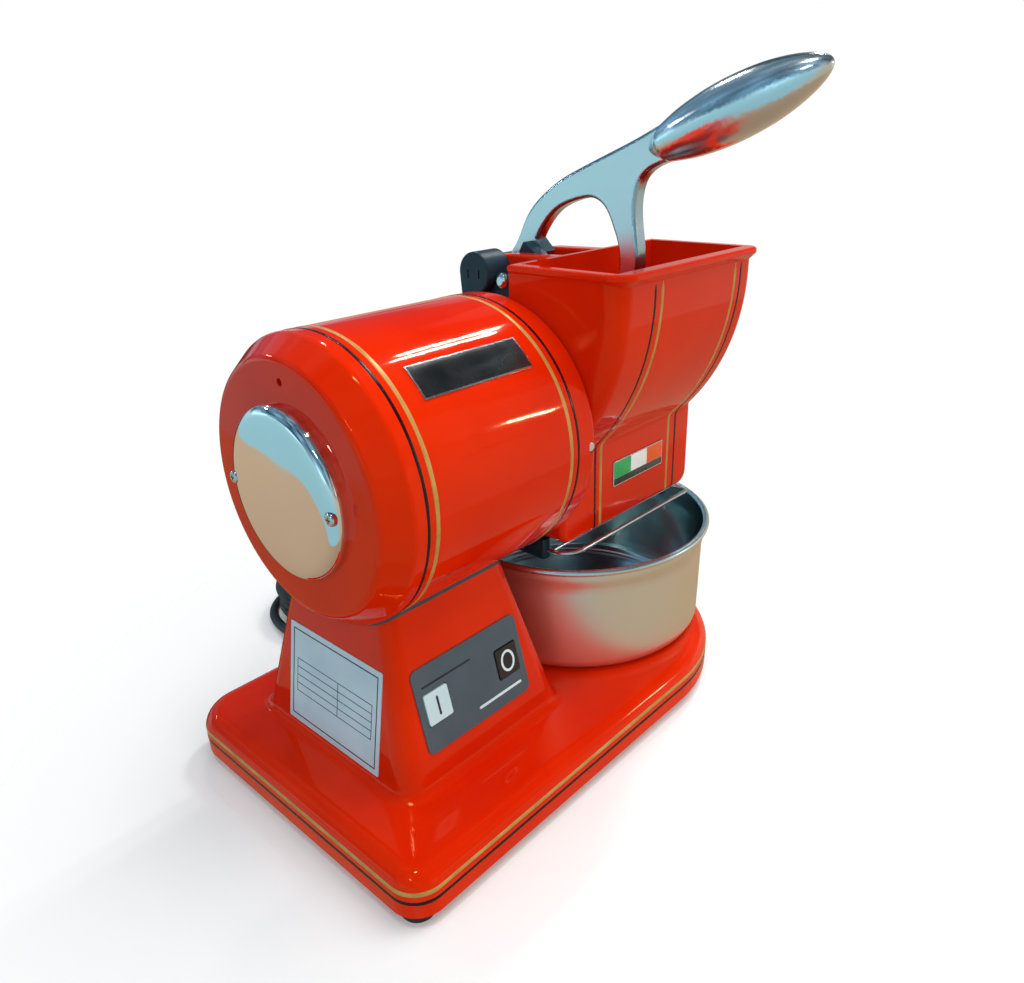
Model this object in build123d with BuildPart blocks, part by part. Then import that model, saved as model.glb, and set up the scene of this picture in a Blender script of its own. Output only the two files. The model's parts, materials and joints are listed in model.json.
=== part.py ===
from build123d import *
import math
import os

os.makedirs("parts", exist_ok=True)

# ------------------------------------------------------------------
# Electric cheese grater.  Millimetres, +Z up, table at z = 0.
# +X runs along the motor from its closed end to the hopper, the user
# stands at -Y.  Sections below are written with x measured from the
# middle of the base and y from the motor axis; X0 and Y0 move them so
# that the middle of the whole machine is at 0.
# ------------------------------------------------------------------
X0 = -3.175
Y0 = 24.64

# motor
AXIS_Z = 188.8
CASE_R = 74.0
CASE_IN = 69.0
CASE_X0 = -134.5
CASE_X1 = -0.3
CASE_FLAT_R = 64.4
CASE_BEVEL_X = -121.5

# base and pedestal
BASE_XL = -163.5
BASE_XC = 61.0
BASE_R = 102.5
BASE_CORNER = 16.5
BASE_CORNER_REAR = 25.0
BASE_Z0 = 7.0
BASE_Z1 = 31.0
BASE_ROUND = 10.5
BASE_WALL = 5.0
GASKET_R = 76.2
PED_LO_Z, PED_LO = 30.0, (-131.3, -10.0, 63.4, 71.0)
PED_HI_Z, PED_HI = 135.0, (-113.9, -33.2, 35.7, 42.0)
PED_WALL = 6.0

# hopper
HX0, HX1 = 6.5, 140.0
LIP_X0, LIP_X1 = 5.3, 141.6
LIP_Y0, LIP_Y1 = -90.0, -13.0
HOP_TOP = 277.8
LIP_H = 6.8
HOP_CORNER = 12.0
HOP_CORNER_R = 6.5
WALL = 4.6
PIV_Y, PIV_Z = 44.0, 265.0
FRONT_R = 130.0
BACK_R = 57.0
HOUSE_R = 50.0
THROAT_Y = 50.0
THROAT_Z0 = 119.5
FLANGE_X1 = 6.0
FLANGE_R = 73.4
FLANGE_DEG = (0, 120, 240)
FLANGE_SX = 2.6

# grating drum
DRUM_R = 40.0
DRUM_X0, DRUM_X1 = 18.0, 122.0

# lever
LEV_X0, LEV_X1 = 66.5, 76.5
HUB_X0, HUB_X1 = 57.5, 85.5
HUB_R = 9.0
PIN_R = 5.0
PADDLE_DEG = 28.5

# bowl
BOWL_X = 79.7
BOWL_RIM_Z = 104.3
BOWL_RIM_R = 90.15

# cord
CORD_D = 7.0
COIL_X, COIL_Y = -4.0, 172.0
COIL_IN, COIL_OUT, COIL_H = 26.5, 47.5, 28.0
GLAND_X, GLAND_Z = -55.5, 18.5


def level(z):
    return Plane(origin=(X0, Y0, z))


def side(x):
    return Plane(origin=(X0 + x, Y0, 0), x_dir=(0, 1, 0), z_dir=(1, 0, 0))


def front(y):
    return Plane(origin=(X0, Y0 + y, 0), x_dir=(1, 0, 0), z_dir=(0, -1, 0))


TURN = Plane(origin=(X0, Y0, AXIS_Z), x_dir=(1, 0, 0), z_dir=(0, -1, 0))
MOTOR_AXIS = Axis((X0, Y0, AXIS_Z), (1, 0, 0))


def pv(r, deg):
    a = math.radians(deg)
    return (PIV_Y - r * math.cos(a), PIV_Z - r * math.sin(a))


def outline(inset):
    xl, r = BASE_XL + inset, BASE_R - inset
    cf, cr = BASE_CORNER - inset, BASE_CORNER_REAR - inset
    k = 1.0 - math.sqrt(0.5)
    with BuildLine() as path:
        Line((BASE_XC, -r), (xl + cf, -r))
        ThreePointArc((xl + cf, -r), (xl + cf * k, -r + cf * k), (xl, -r + cf))
        Line((xl, -r + cf), (xl, r - cr))
        ThreePointArc((xl, r - cr), (xl + cr * k, r - cr * k), (xl + cr, r))
        Line((xl + cr, r), (BASE_XC, r))
        ThreePointArc((BASE_XC, r), (BASE_XC + r, 0), (BASE_XC, -r))
    make_face(path.line.edges())


def turned(points):
    with BuildSketch(TURN) as half:
        with BuildLine():
            Polyline(*points, close=True)
        make_face()
    revolve(half.sketch, axis=MOTOR_AXIS)


# ------------------------------------------------------------------
# base casting with pedestal
# ------------------------------------------------------------------
def ped_section(z, inset):
    t = (z - PED_LO_Z) / (PED_HI_Z - PED_LO_Z)
    x0 = PED_LO[0] + t * (PED_HI[0] - PED_LO[0]) + inset
    x1 = PED_LO[1] + t * (PED_HI[1] - PED_LO[1]) - inset
    f = PED_LO[2] + t * (PED_HI[2] - PED_LO[2]) - inset
    b = PED_LO[3] + t * (PED_HI[3] - PED_LO[3]) - inset
    r = max(12.0 - 4.0 * t - inset, 3.0)
    with BuildSketch(level(z)) as section:
        with Locations(((x0 + x1) / 2, (b - f) / 2)):
            RectangleRounded(x1 - x0, f + b, r)
    return section.sketch


FOOT_XY = [(-150.5, -88.5), (-147.5, 85.5), (100.0, -71.0), (100.0, 71.0)]
BOLT_XY = [(-86.0, -18.0), (-86.0, 18.0), (-44.0, -18.0), (-44.0, 18.0)]
FACE_S = (PED_LO[2] - PED_HI[2]) / (PED_HI_Z - PED_LO_Z)
FACE_L = math.hypot(1.0, FACE_S)
PANEL_N = (0, -1.0 / FACE_L, FACE_S / FACE_L)
PANEL_Z = 71.7
PANEL_Y = -(PED_LO[2] - FACE_S * (PANEL_Z - PED_LO_Z))
PANEL_X = -73.0
BTN_DX = 26.1
panel_plane = Plane(origin=(X0 + PANEL_X, Y0 + PANEL_Y, PANEL_Z), x_dir=(1, 0, 0), z_dir=PANEL_N)
SIDE_S = (PED_HI[0] - PED_LO[0]) / (PED_HI_Z - PED_LO_Z)
SIDE_L = math.hypot(1.0, SIDE_S)
LABEL_Z = 66.0
LABEL_X = PED_LO[0] + SIDE_S * (LABEL_Z - PED_LO_Z)
label_plane = Plane(origin=(X0 + LABEL_X, Y0 + 2.0, LABEL_Z), x_dir=(0, -1, 0), z_dir=(-1.0 / SIDE_L, 0, SIDE_S / SIDE_L))

with BuildPart() as pedestal_core:
    loft([ped_section(24.0, PED_WALL), ped_section(PED_HI_Z, PED_WALL)])
    with BuildSketch(side(-170)):
        with Locations((0, AXIS_Z)):
            Circle(84.5)
    extrude(amount=200, mode=Mode.SUBTRACT)

with BuildPart() as base_casting:
    with BuildSketch(level(BASE_Z0)):
        outline(0.0)
    extrude(amount=BASE_Z1 - BASE_Z0)
    fillet(base_casting.faces().sort_by(Axis.Z)[-1].edges(), BASE_ROUND)
    loft([ped_section(PED_LO_Z, 0.0), ped_section(PED_HI_Z, 0.0)])
    toe = base_casting.edges().filter_by(
        lambda e: abs(e.center().Z - BASE_Z1) < 0.05 and e.center().X < -8
        and abs(e.center().Y - Y0) < 76 and e.center().X > -150)
    fillet(toe, 7.0)
    with BuildSketch(level(BASE_Z0)):
        outline(BASE_WALL)
    extrude(amount=19.0, mode=Mode.SUBTRACT)
    with BuildSketch(side(-170)):
        with Locations((0, AXIS_Z)):
            Circle(GASKET_R)
    extrude(amount=200, mode=Mode.SUBTRACT)
    add(pedestal_core.part, mode=Mode.SUBTRACT)
    # bosses for feet, bolts through the saddle, wire way
    with BuildSketch(level(9.5)):
        with Locations(*FOOT_XY):
            Circle(8.0)
    extrude(amount=17.0)
    with BuildSketch(level(9.5)):
        with Locations(*FOOT_XY):
            Circle(2.05)
    extrude(amount=13.0, mode=Mode.SUBTRACT)
    with BuildSketch(level(95.0)):
        with Locations(*BOLT_XY):
            Circle(3.1)
        with Locations((-65.0, 0)):
            Circle(8.0)
    extrude(amount=30.0, mode=Mode.SUBTRACT)
    # openings for the two push buttons
    with BuildSketch(panel_plane):
        with Locations((-BTN_DX, 0), (BTN_DX, 0)):
            Rectangle(18.6, 19.6)
    extrude(amount=-14.0, mode=Mode.SUBTRACT)
    # cord hole in the rear wall
    with BuildSketch(front(110.0)):
        with Locations((GLAND_X, GLAND_Z)):
            Circle(6.0)
    extrude(amount=18.0, mode=Mode.SUBTRACT)
base_casting.part.label = "base_casting"
export_step(base_casting.part, "parts/base_casting.step")

with BuildPart() as bottom_plate:
    with BuildSketch(level(8.0)):
        outline(BASE_WALL + 0.4)
        with Locations(*FOOT_XY):
            Circle(2.3, mode=Mode.SUBTRACT)
        with Locations(*[(-90.0 + 14.0 * i, 62.0) for i in range(6)]):
            SlotOverall(24.0, 4.0, rotation=90, mode=Mode.SUBTRACT)
    extrude(amount=1.5)
bottom_plate.part.label = "bottom_plate"
export_step(bottom_plate.part, "parts/bottom_plate.step")

with BuildPart() as rubber_feet:
    with BuildSketch(level(0.0)):
        with Locations(*FOOT_XY):
            Circle(9.0)
    extrude(amount=7.0, taper=-8)
    with BuildSketch(level(6.0)):
        with Locations(*FOOT_XY):
            Circle(5.5)
    extrude(amount=2.0)
    with BuildSketch(level(0.0)):
        with Locations(*FOOT_XY):
            Circle(5.2)
    extrude(amount=4.5, mode=Mode.SUBTRACT)
    with BuildSketch(level(0.0)):
        with Locations(*FOOT_XY):
            Circle(2.3)
    extrude(amount=9.0, mode=Mode.SUBTRACT)
rubber_feet.part.label = "rubber_feet"
export_step(rubber_feet.part, "parts/rubber_feet.step")

with BuildPart() as foot_screws:
    with BuildSketch(level(2.0)):
        with Locations(*FOOT_XY):
            Circle(4.2)
    extrude(amount=2.5)
    with BuildSketch(level(4.5)):
        with Locations(*FOOT_XY):
            Circle(2.0)
    extrude(amount=16.0)
    with BuildSketch(level(2.0)):
        with Locations(*FOOT_XY):
            Rectangle(5.0, 1.0)
            Rectangle(1.0, 5.0)
    extrude(amount=1.2, mode=Mode.SUBTRACT)
foot_screws.part.label = "foot_screws"
export_step(foot_screws.part, "parts/foot_screws.step")

# gasket: pedestal outline between the casing and the saddle
with BuildPart() as saddle_gasket:
    loft([ped_section(100.0, 0.0), ped_section(PED_HI_Z, 0.0)])
    with BuildSketch(side(-170)):
        with Locations((0, AXIS_Z)):
            Circle(CASE_R)
    extrude(amount=200, mode=Mode.SUBTRACT)
    with BuildSketch(side(-170)):
        with Locations((0, AXIS_Z)):
            Rectangle(300, 300)
            Circle(GASKET_R, mode=Mode.SUBTRACT)
    extrude(amount=200, mode=Mode.SUBTRACT)
    with BuildSketch(level(95.0)):
        with Locations(*BOLT_XY):
            Circle(3.1)
        with Locations((-65.0, 0)):
            Circle(8.0)
    extrude(amount=30.0, mode=Mode.SUBTRACT)
saddle_gasket.part.label = "saddle_gasket"
export_step(saddle_gasket.part, "parts/saddle_gasket.step")

with BuildPart() as casing_bolts:
    with BuildSketch(level(100.3)):
        with Locations(*BOLT_XY):
            RegularPolygon(5.0, 6)
    extrude(amount=4.0)
    with BuildSketch(level(104.3)):
        with Locations(*BOLT_XY):
            Circle(3.0)
    extrude(amount=16.5)
casing_bolts.part.label = "casing_bolts"
export_step(casing_bolts.part, "parts/casing_bolts.step")

# ------------------------------------------------------------------
# motor casing and the disc on its end
# ------------------------------------------------------------------
# (distance from the motor axis towards the rear, seat of the head)
DISC_SCREWS = [(-39.8, -139.3), (39.8, -139.3)]
DISC_R = 43.4
with BuildPart() as motor_casing:
    turned([(CASE_X0, 12), (CASE_X0, CASE_FLAT_R), (CASE_BEVEL_X, CASE_R), (CASE_X1, CASE_R),
            (CASE_X1, CASE_IN), (-36, CASE_IN), (-36, 62.1), (-87, 62.1), (-87, CASE_IN),
            (-118.5, CASE_IN), (-128.5, 60), (-128.5, 27), (-112, 27), (-112, 20.03), (-125.6, 20.03), (-125.6, 12)])
    rim = motor_casing.edges().filter_by(GeomType.CIRCLE).filter_by(
        lambda e: abs(e.radius - CASE_FLAT_R) < 0.01 or (abs(e.radius - CASE_R) < 0.01 and e.center().X < -100))
    fillet(rim, 5.0)
    # threads for the saddle bolts, wire way, cover screws, vent hole
    with BuildSketch(level(95.0)):
        with Locations(*BOLT_XY):
            Circle(3.05)
    extrude(amount=26.0, mode=Mode.SUBTRACT)
    with BuildSketch(side(-136)):
        with Locations(*[(q[0], AXIS_Z) for q in DISC_SCREWS]):
            Circle(1.52)
        with Locations((-3.0, 243.0)):
            Circle(2.0)
    extrude(amount=10.0, mode=Mode.SUBTRACT)
motor_casing.part.label = "motor_casing"
export_step(motor_casing.part, "parts/motor_casing.step")

with BuildPart() as end_cover_disc:
    with BuildSketch(TURN) as dome:
        with BuildLine():
            Spline((-142.2, 0), (-142.1, 16.0), (-141.9, 29.0), (-141.55, 36.0), (-141.0, 39.4), (-139.9, 41.7), (-138.4, 43.0), (-136.6, DISC_R),
                   tangents=((0, 1), (1, 0)))
            Polyline((-136.6, DISC_R), (CASE_X0, DISC_R), (CASE_X0, 0), (-142.2, 0))
        make_face()
    revolve(dome.sketch, axis=MOTOR_AXIS)
    with BuildSketch(side(-136.2)):
        with Locations((0, AXIS_Z)):
            Circle(33.0)
    extrude(amount=3.0, mode=Mode.SUBTRACT)
    for y, seat in DISC_SCREWS:
        with BuildSketch(side(-144)):
            with Locations((y, AXIS_Z)):
                Circle(3.5)
        extrude(amount=seat + 144, mode=Mode.SUBTRACT)
        with BuildSketch(side(-144)):
            with Locations((y, AXIS_Z)):
                Circle(1.7)
        extrude(amount=12.0, mode=Mode.SUBTRACT)
end_cover_disc.part.label = "end_cover_disc"
export_step(end_cover_disc.part, "parts/end_cover_disc.step")

with BuildPart() as end_cover_screws:
    for y, seat in DISC_SCREWS:
        with BuildSketch(side(seat - 3.0)):
            with Locations((y, AXIS_Z)):
                Circle(3.2)
        extrude(amount=3.0)
    heads = end_cover_screws.edges().filter_by(GeomType.CIRCLE).filter_by(
        lambda e: min(abs(e.center().X - X0 - q[1] + 3.0) for q in DISC_SCREWS) < 0.01)
    fillet(heads, 1.2)
    for y, seat in DISC_SCREWS:
        with BuildSketch(side(seat - 0.5)):
            with Locations((y, AXIS_Z)):
                Circle(1.5)
        extrude(amount=-128.0 - seat + 0.5)
        with BuildSketch(side(seat - 3.0)):
            with Locations((y, AXIS_Z)):
                Rectangle(3.4, 0.8)
                Rectangle(0.8, 3.4)
        extrude(amount=1.2, mode=Mode.SUBTRACT)
end_cover_screws.part.label = "end_cover_screws"
export_step(end_cover_screws.part, "parts/end_cover_screws.step")

# ------------------------------------------------------------------
# motor inside
# ------------------------------------------------------------------
with BuildPart() as front_shield:
    turned([(-18, 20.03), (-18, 26), (-6, 26), (-6, 62), (-16, 62), (-16, 68.9), (5, 68.9),
            (5, 15.03), (-2, 15.03), (-2, 11), (-4, 11), (-4, 20.03)])
front_shield.part.label = "front_shield"
export_step(front_shield.part, "parts/front_shield.step")

with BuildPart() as front_bearing:
    turned([(-16, 8.55), (-16, 20), (-4.05, 20), (-4.05, 8.55)])
front_bearing.part.label = "front_bearing"
export_step(front_bearing.part, "parts/front_bearing.step")

with BuildPart() as rear_bearing:
    turned([(-125.5, 8.55), (-125.5, 20), (-113.5, 20), (-113.5, 8.55)])
rear_bearing.part.label = "rear_bearing"
export_step(rear_bearing.part, "parts/rear_bearing.step")

with BuildPart() as shaft_seal:
    turned([(-1.95, 8.58), (-1.95, 15), (4, 15), (4, 8.58)])
shaft_seal.part.label = "shaft_seal"
export_step(shaft_seal.part, "parts/shaft_seal.step")

with BuildPart() as motor_shaft:
    turned([(-125.4, 0), (-125.4, 8.5), (-113.2, 8.5), (-113.2, 10.5), (-16.4, 10.5), (-16.4, 8.5),
            (14, 8.5), (14, 8), (129, 8), (129, 0)])
    with BuildSketch(level(AXIS_Z + 5.5)):
        with Locations((62.0, 0)):
            Rectangle(40.0, 5.0)
    extrude(amount=4.0, mode=Mode.SUBTRACT)
motor_shaft.part.label = "motor_shaft"
export_step(motor_shaft.part, "parts/motor_shaft.step")

with BuildPart() as rotor_core:
    turned([(-84, 10.5), (-84, 30), (-39, 30), (-39, 10.5)])
    with BuildSketch(side(-89)):
        with Locations((0, AXIS_Z)):
            Circle(28.0)
            Circle(18.0, mode=Mode.SUBTRACT)
    extrude(amount=55.0)
rotor_core.part.label = "rotor_core"
export_step(rotor_core.part, "parts/rotor_core.step")

with BuildPart() as stator_core:
    turned([(-84, 31.0), (-84, 62.05), (-39, 62.05), (-39, 31.0)])
    with BuildSketch(side(-84)):
        with Locations((0, AXIS_Z)):
            with PolarLocations(43.0, 24):
                SlotOverall(16.0, 5.0)
    extrude(amount=45.0, mode=Mode.SUBTRACT)
stator_core.part.label = "stator_core"
export_step(stator_core.part, "parts/stator_core.step")

with BuildPart() as stator_windings:
    turned([(-100, 36), (-100, 55), (-84, 55), (-84, 36)])
    fillet(stator_windings.edges().filter_by(GeomType.CIRCLE).group_by(Axis.X)[0], 5.0)
    turned([(-39, 36), (-39, 55), (-26, 55), (-26, 36)])
    with BuildSketch(side(-84)):
        with Locations((0, AXIS_Z)):
            with PolarLocations(43.0, 24):
                SlotOverall(13.4, 4.6)
    extrude(amount=45.0)
stator_windings.part.label = "stator_windings"
export_step(stator_windings.part, "parts/stator_windings.step")

# ------------------------------------------------------------------
# grating drum on the shaft
# ------------------------------------------------------------------
with BuildPart() as grating_drum:
    turned([(DRUM_X0, DRUM_R - 3), (DRUM_X0, DRUM_R), (DRUM_X1, DRUM_R), (DRUM_X1, DRUM_R - 3),
            (74, DRUM_R - 3), (74, 17), (DRUM_X1, 13), (DRUM_X1, 8.03), (DRUM_X0, 8.03), (DRUM_X0, 13),
            (66, 17), (66, DRUM_R - 3)])
    # rows of punched grating holes
    for k in range(16):
        a = 2 * math.pi * k / 16
        n = (0, math.cos(a), math.sin(a))
        row = Plane(origin=(X0, Y0 + 35 * math.cos(a), AXIS_Z + 35 * math.sin(a)), x_dir=(1, 0, 0), z_dir=n)
        shift = 0.0 if k % 2 == 0 else 5.5
        with BuildSketch(row):
            with Locations(*[(DRUM_X0 + 8.0 + shift + 11.0 * i, 0) for i in range(8) if not 62 < DRUM_X0 + 8.0 + shift + 11.0 * i < 78]):
                Circle(2.6)
        extrude(amount=8.0, mode=Mode.SUBTRACT)
    with BuildSketch(level(AXIS_Z + 5.5)):
        with Locations((62.0, 0)):
            Rectangle(40.0, 5.0)
    extrude(amount=5.0, mode=Mode.SUBTRACT)
grating_drum.part.label = "grating_drum"
export_step(grating_drum.part, "parts/grating_drum.step")

with BuildPart() as drum_key:
    with BuildSketch(level(AXIS_Z + 5.5)):
        with Locations((62.0, 0)):
            Rectangle(39.9, 4.96)
    extrude(amount=4.9)
drum_key.part.label = "drum_key"
export_step(drum_key.part, "parts/drum_key.step")

with BuildPart() as drum_nut:
    with BuildSketch(side(DRUM_X1)):
        with Locations((0, AXIS_Z)):
            RegularPolygon(13.0, 6)
            Circle(8.03, mode=Mode.SUBTRACT)
    extrude(amount=7.0)
drum_nut.part.label = "drum_nut"
export_step(drum_nut.part, "parts/drum_nut.step")

# ------------------------------------------------------------------
# hopper casting: round flange, hopper, throat, rim and hinge lugs
# ------------------------------------------------------------------
FRONT_Y = PIV_Y - FRONT_R
BACK_Y = PIV_Y - BACK_R
PHI_F = math.degrees(math.acos((PIV_Y + THROAT_Y) / FRONT_R))
AX_D = math.hypot(PIV_Y, PIV_Z - AXIS_Z)
AX_A = math.degrees(math.atan2(PIV_Z - AXIS_Z, PIV_Y))


def meet(rp, rh):
    c = (AX_D ** 2 + rp ** 2 - rh ** 2) / (2 * AX_D * rp)
    return AX_A - math.degrees(math.acos(c))


PHI_B = meet(BACK_R, HOUSE_R)
IN_F = FRONT_R - WALL
IN_B = BACK_R + WALL
IN_H = HOUSE_R - WALL
PHI_BI = meet(IN_B, IN_H)
PHI_FI = math.degrees(math.acos((PIV_Y + THROAT_Y - WALL) / IN_F))
IX0, IX1 = HX0 + WALL, HX1 - WALL

with BuildPart() as throat_block:
    with BuildSketch(front(-THROAT_Y)):
        with BuildLine():
            FilletPolyline((HX0, 200), (HX0, THROAT_Z0), (HX1, THROAT_Z0), (HX1, 200), radius=9.0)
            Line((HX1, 200), (HX0, 200))
        make_face()
    extrude(amount=-2 * THROAT_Y)
    lips = throat_block.faces().sort_by(Axis.Y)[0].edges().filter_by(lambda e: e.center().Z < 199.5)
    fillet(lips, 4.0)

with BuildPart() as rim_block:
    with BuildSketch(level(HOP_TOP - LIP_H)):
        with BuildLine():
            lip = FilletPolyline((LIP_X0, LIP_Y1), (LIP_X0, LIP_Y0), (LIP_X1, LIP_Y0), (LIP_X1, LIP_Y1), radius=[HOP_CORNER + 1.0, HOP_CORNER_R + 1.5])
            Line((LIP_X1, LIP_Y1), (LIP_X0, LIP_Y1))
        make_face()
    extrude(amount=LIP_H)
    fillet(rim_block.faces().sort_by(Axis.Z)[-1].edges(), 1.6)
    chamfer(rim_block.faces().sort_by(Axis.Z)[0].edges(), 3.6)

with BuildPart() as lug_block:
    for x in (47.0, 86.0):
        with BuildSketch(side(x)):
            with BuildLine():
                Polyline((PIV_Y, PIV_Z + 9), (24, PIV_Z + 11.2), (-15, PIV_Z + 12), (-15, 255), (0, AXIS_Z + 45.7), (HOUSE_R - 2, AXIS_Z),
                         (PIV_Y + 9, PIV_Z))
                ThreePointArc((PIV_Y + 9, PIV_Z), (PIV_Y + 6.364, PIV_Z + 6.364), (PIV_Y, PIV_Z + 9))
            make_face()
        extrude(amount=10.0)
    lug_edges = lug_block.edges().filter_by(
        lambda e: min(abs(e.center().X - X0 - v) for v in (47.0, 57.0, 86.0, 96.0)) < 0.01 and e.center().Y > Y0 + 5 and e.center().Z > 226)
    fillet(lug_edges, 1.6)

with BuildPart() as hopper_body:
    with BuildSketch(side(HX0)):
        with BuildLine():
            Polyline((BACK_Y, PIV_Z), (BACK_Y, HOP_TOP - 2), (FRONT_Y, HOP_TOP - 2), (FRONT_Y, PIV_Z))
            ThreePointArc((FRONT_Y, PIV_Z), pv(FRONT_R, PHI_F / 2), pv(FRONT_R, PHI_F))
            Line(pv(FRONT_R, PHI_F), pv(BACK_R, PHI_B))
            ThreePointArc(pv(BACK_R, PHI_B), pv(BACK_R, PHI_B / 2), (BACK_Y, PIV_Z))
        make_face()
    extrude(amount=HX1 - HX0)
    for wall_x, wall_r in ((HX0, HOP_CORNER), (HX1, HOP_CORNER_R)):
        corner = hopper_body.edges().filter_by(
            lambda e: abs(e.center().X - X0 - wall_x) < 0.01 and e.center().Y < Y0 - 55)
        fillet(corner, wall_r)
    with BuildSketch(side(HX0)):
        with Locations((0, AXIS_Z)):
            Circle(HOUSE_R)
    extrude(amount=HX1 - HX0)
    add(throat_block.part)
    inner_corner = hopper_body.edges().filter_by(
        lambda e: abs(e.center().Y - Y0 + THROAT_Y) < 0.2 and 170 < e.center().Z < 180 and e.length > 60)
    fillet(inner_corner, 8.0)
    # rounded rim, hinge lugs behind the hopper
    add(rim_block.part)
    add(lug_block.part)
    # flange towards the motor
    with BuildSketch(side(CASE_X1)):
        with Locations((0, AXIS_Z)):
            Circle(FLANGE_R)
    extrude(amount=FLANGE_X1 - CASE_X1)
    fillet(hopper_body.edges().filter_by(GeomType.CIRCLE).filter_by(
        lambda e: abs(e.radius - FLANGE_R) < 0.01 and abs(e.arc_center.X - X0 - FLANGE_X1) < 0.01), 2.5)
    with BuildSketch(side(FLANGE_X1 - 1)):
        with Locations((0, AXIS_Z)):
            Circle(69.2)
    extrude(amount=HX0 + 3 - FLANGE_X1)
    # way for the food and the paddle, then drum chamber and outlet
    with BuildSketch(side(IX0)):
        with BuildLine():
            Polyline((BACK_Y - WALL, PIV_Z), (BACK_Y - WALL, 290), (FRONT_Y + WALL, 290), (FRONT_Y + WALL, PIV_Z))
            ThreePointArc((FRONT_Y + WALL, PIV_Z), pv(IN_F, PHI_FI / 2), pv(IN_F, PHI_FI))
            Line(pv(IN_F, PHI_FI), (0, AXIS_Z))
            Line((0, AXIS_Z), pv(IN_B, PHI_BI))
            ThreePointArc(pv(IN_B, PHI_BI), pv(IN_B, PHI_BI / 2), (BACK_Y - WALL, PIV_Z))
        make_face()
    extrude(amount=IX1 - IX0, mode=Mode.SUBTRACT)
    with BuildSketch(side(5.0)):
        with Locations((0, AXIS_Z)):
            Circle(IN_H)
    extrude(amount=IX1 - 5.0, mode=Mode.SUBTRACT)
    with BuildSketch(side(CASE_X1 - 1)):
        with Locations((0, AXIS_Z)):
            Circle(CASE_IN)
    extrude(amount=5.0 - CASE_X1 + 1, mode=Mode.SUBTRACT)
    with BuildSketch(side(IX0)):
        with Locations((0, (AXIS_Z + 100) / 2)):
            Rectangle(2 * IN_H, AXIS_Z - 100)
    extrude(amount=IX1 - IX0, mode=Mode.SUBTRACT)
    # pin bore through the lugs
    with BuildSketch(side(40.0)):
        with Locations((PIV_Y, PIV_Z)):
            Circle(5.02)
    extrude(amount=60.0, mode=Mode.SUBTRACT)
    # three radial screw holes in the flange
    for a in FLANGE_DEG:
        d = (0, -math.cos(math.radians(a)), math.sin(math.radians(a)))
        with BuildSketch(Plane(origin=(X0 + FLANGE_SX, Y0 + 60 * d[1], AXIS_Z + 60 * d[2]), x_dir=(1, 0, 0), z_dir=d)):
            Circle(1.8)
        extrude(amount=20.0, mode=Mode.SUBTRACT)
    # threads for the guard rails
    with BuildSketch(level(110.0)):
        with Locations((9.0, -20.2), (9.0, 20.2), (137.6, -20.2), (137.6, 20.2)):
            Circle(1.25)
    extrude(amount=17.0, mode=Mode.SUBTRACT)
hopper_body.part.label = "hopper_body"
export_step(hopper_body.part, "parts/hopper_body.step")

with BuildPart() as flange_screws:
    for a in FLANGE_DEG:
        d = (0, -math.cos(math.radians(a)), math.sin(math.radians(a)))
        with BuildSketch(Plane(origin=(X0 + FLANGE_SX, Y0 + 71.2 * d[1], AXIS_Z + 71.2 * d[2]), x_dir=(1, 0, 0), z_dir=d)):
            Circle(2.7)
        extrude(amount=1.9)
        with BuildSketch(Plane(origin=(X0 + FLANGE_SX, Y0 + 64 * d[1], AXIS_Z + 64 * d[2]), x_dir=(1, 0, 0), z_dir=d)):
            Circle(1.75)
        extrude(amount=8.0)
flange_screws.part.label = "flange_screws"

# the flange wall is spot-faced under each head and the shield is drilled
with BuildPart() as hopper_finish:
    add(hopper_body.part)
    for a in FLANGE_DEG:
        d = (0, -math.cos(math.radians(a)), math.sin(math.radians(a)))
        with BuildSketch(Plane(origin=(X0 + FLANGE_SX, Y0 + 71.2 * d[1], AXIS_Z + 71.2 * d[2]), x_dir=(1, 0, 0), z_dir=d)):
            Circle(2.9)
        extrude(amount=6.0, mode=Mode.SUBTRACT)
hopper_finish.part.label = "hopper_body"
export_step(hopper_finish.part, "parts/hopper_body.step")
export_step(flange_screws.part, "parts/flange_screws.step")

with BuildPart() as shield_finish:
    add(front_shield.part)
    for a in FLANGE_DEG:
        d = (0, -math.cos(math.radians(a)), math.sin(math.radians(a)))
        with BuildSketch(Plane(origin=(X0 + FLANGE_SX, Y0 + 58 * d[1], AXIS_Z + 58 * d[2]), x_dir=(1, 0, 0), z_dir=d)):
            Circle(1.76)
        extrude(amount=14.0, mode=Mode.SUBTRACT)
shield_finish.part.label = "front_shield"
export_step(shield_finish.part, "parts/front_shield.step")

# ------------------------------------------------------------------
# lever: plate arm, hub and turned grip
# ------------------------------------------------------------------
PU = (-math.cos(math.radians(PADDLE_DEG)), -math.sin(math.radians(PADDLE_DEG)))
PW = (PU[1], -PU[0])


def pad(r, off):
    return (PIV_Y + r * PU[0] + off * PW[0], PIV_Z + r * PU[1] + off * PW[1])


GRIP_O = (-62.0, 333.19)
GRIP_U = (-0.93236, 0.36154)
GRIP_R = [(6.5, 9.85), (12.0, 11.25), (17.3, 12.48), (27.0, 13.94), (36.6, 14.8), (46.2, 14.95),
          (55.9, 14.5), (65.5, 13.46), (75.1, 11.54), (83.8, 8.95), (90.5, 6.0), (94.4, 3.2), (96.05, 0.0)]

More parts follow.
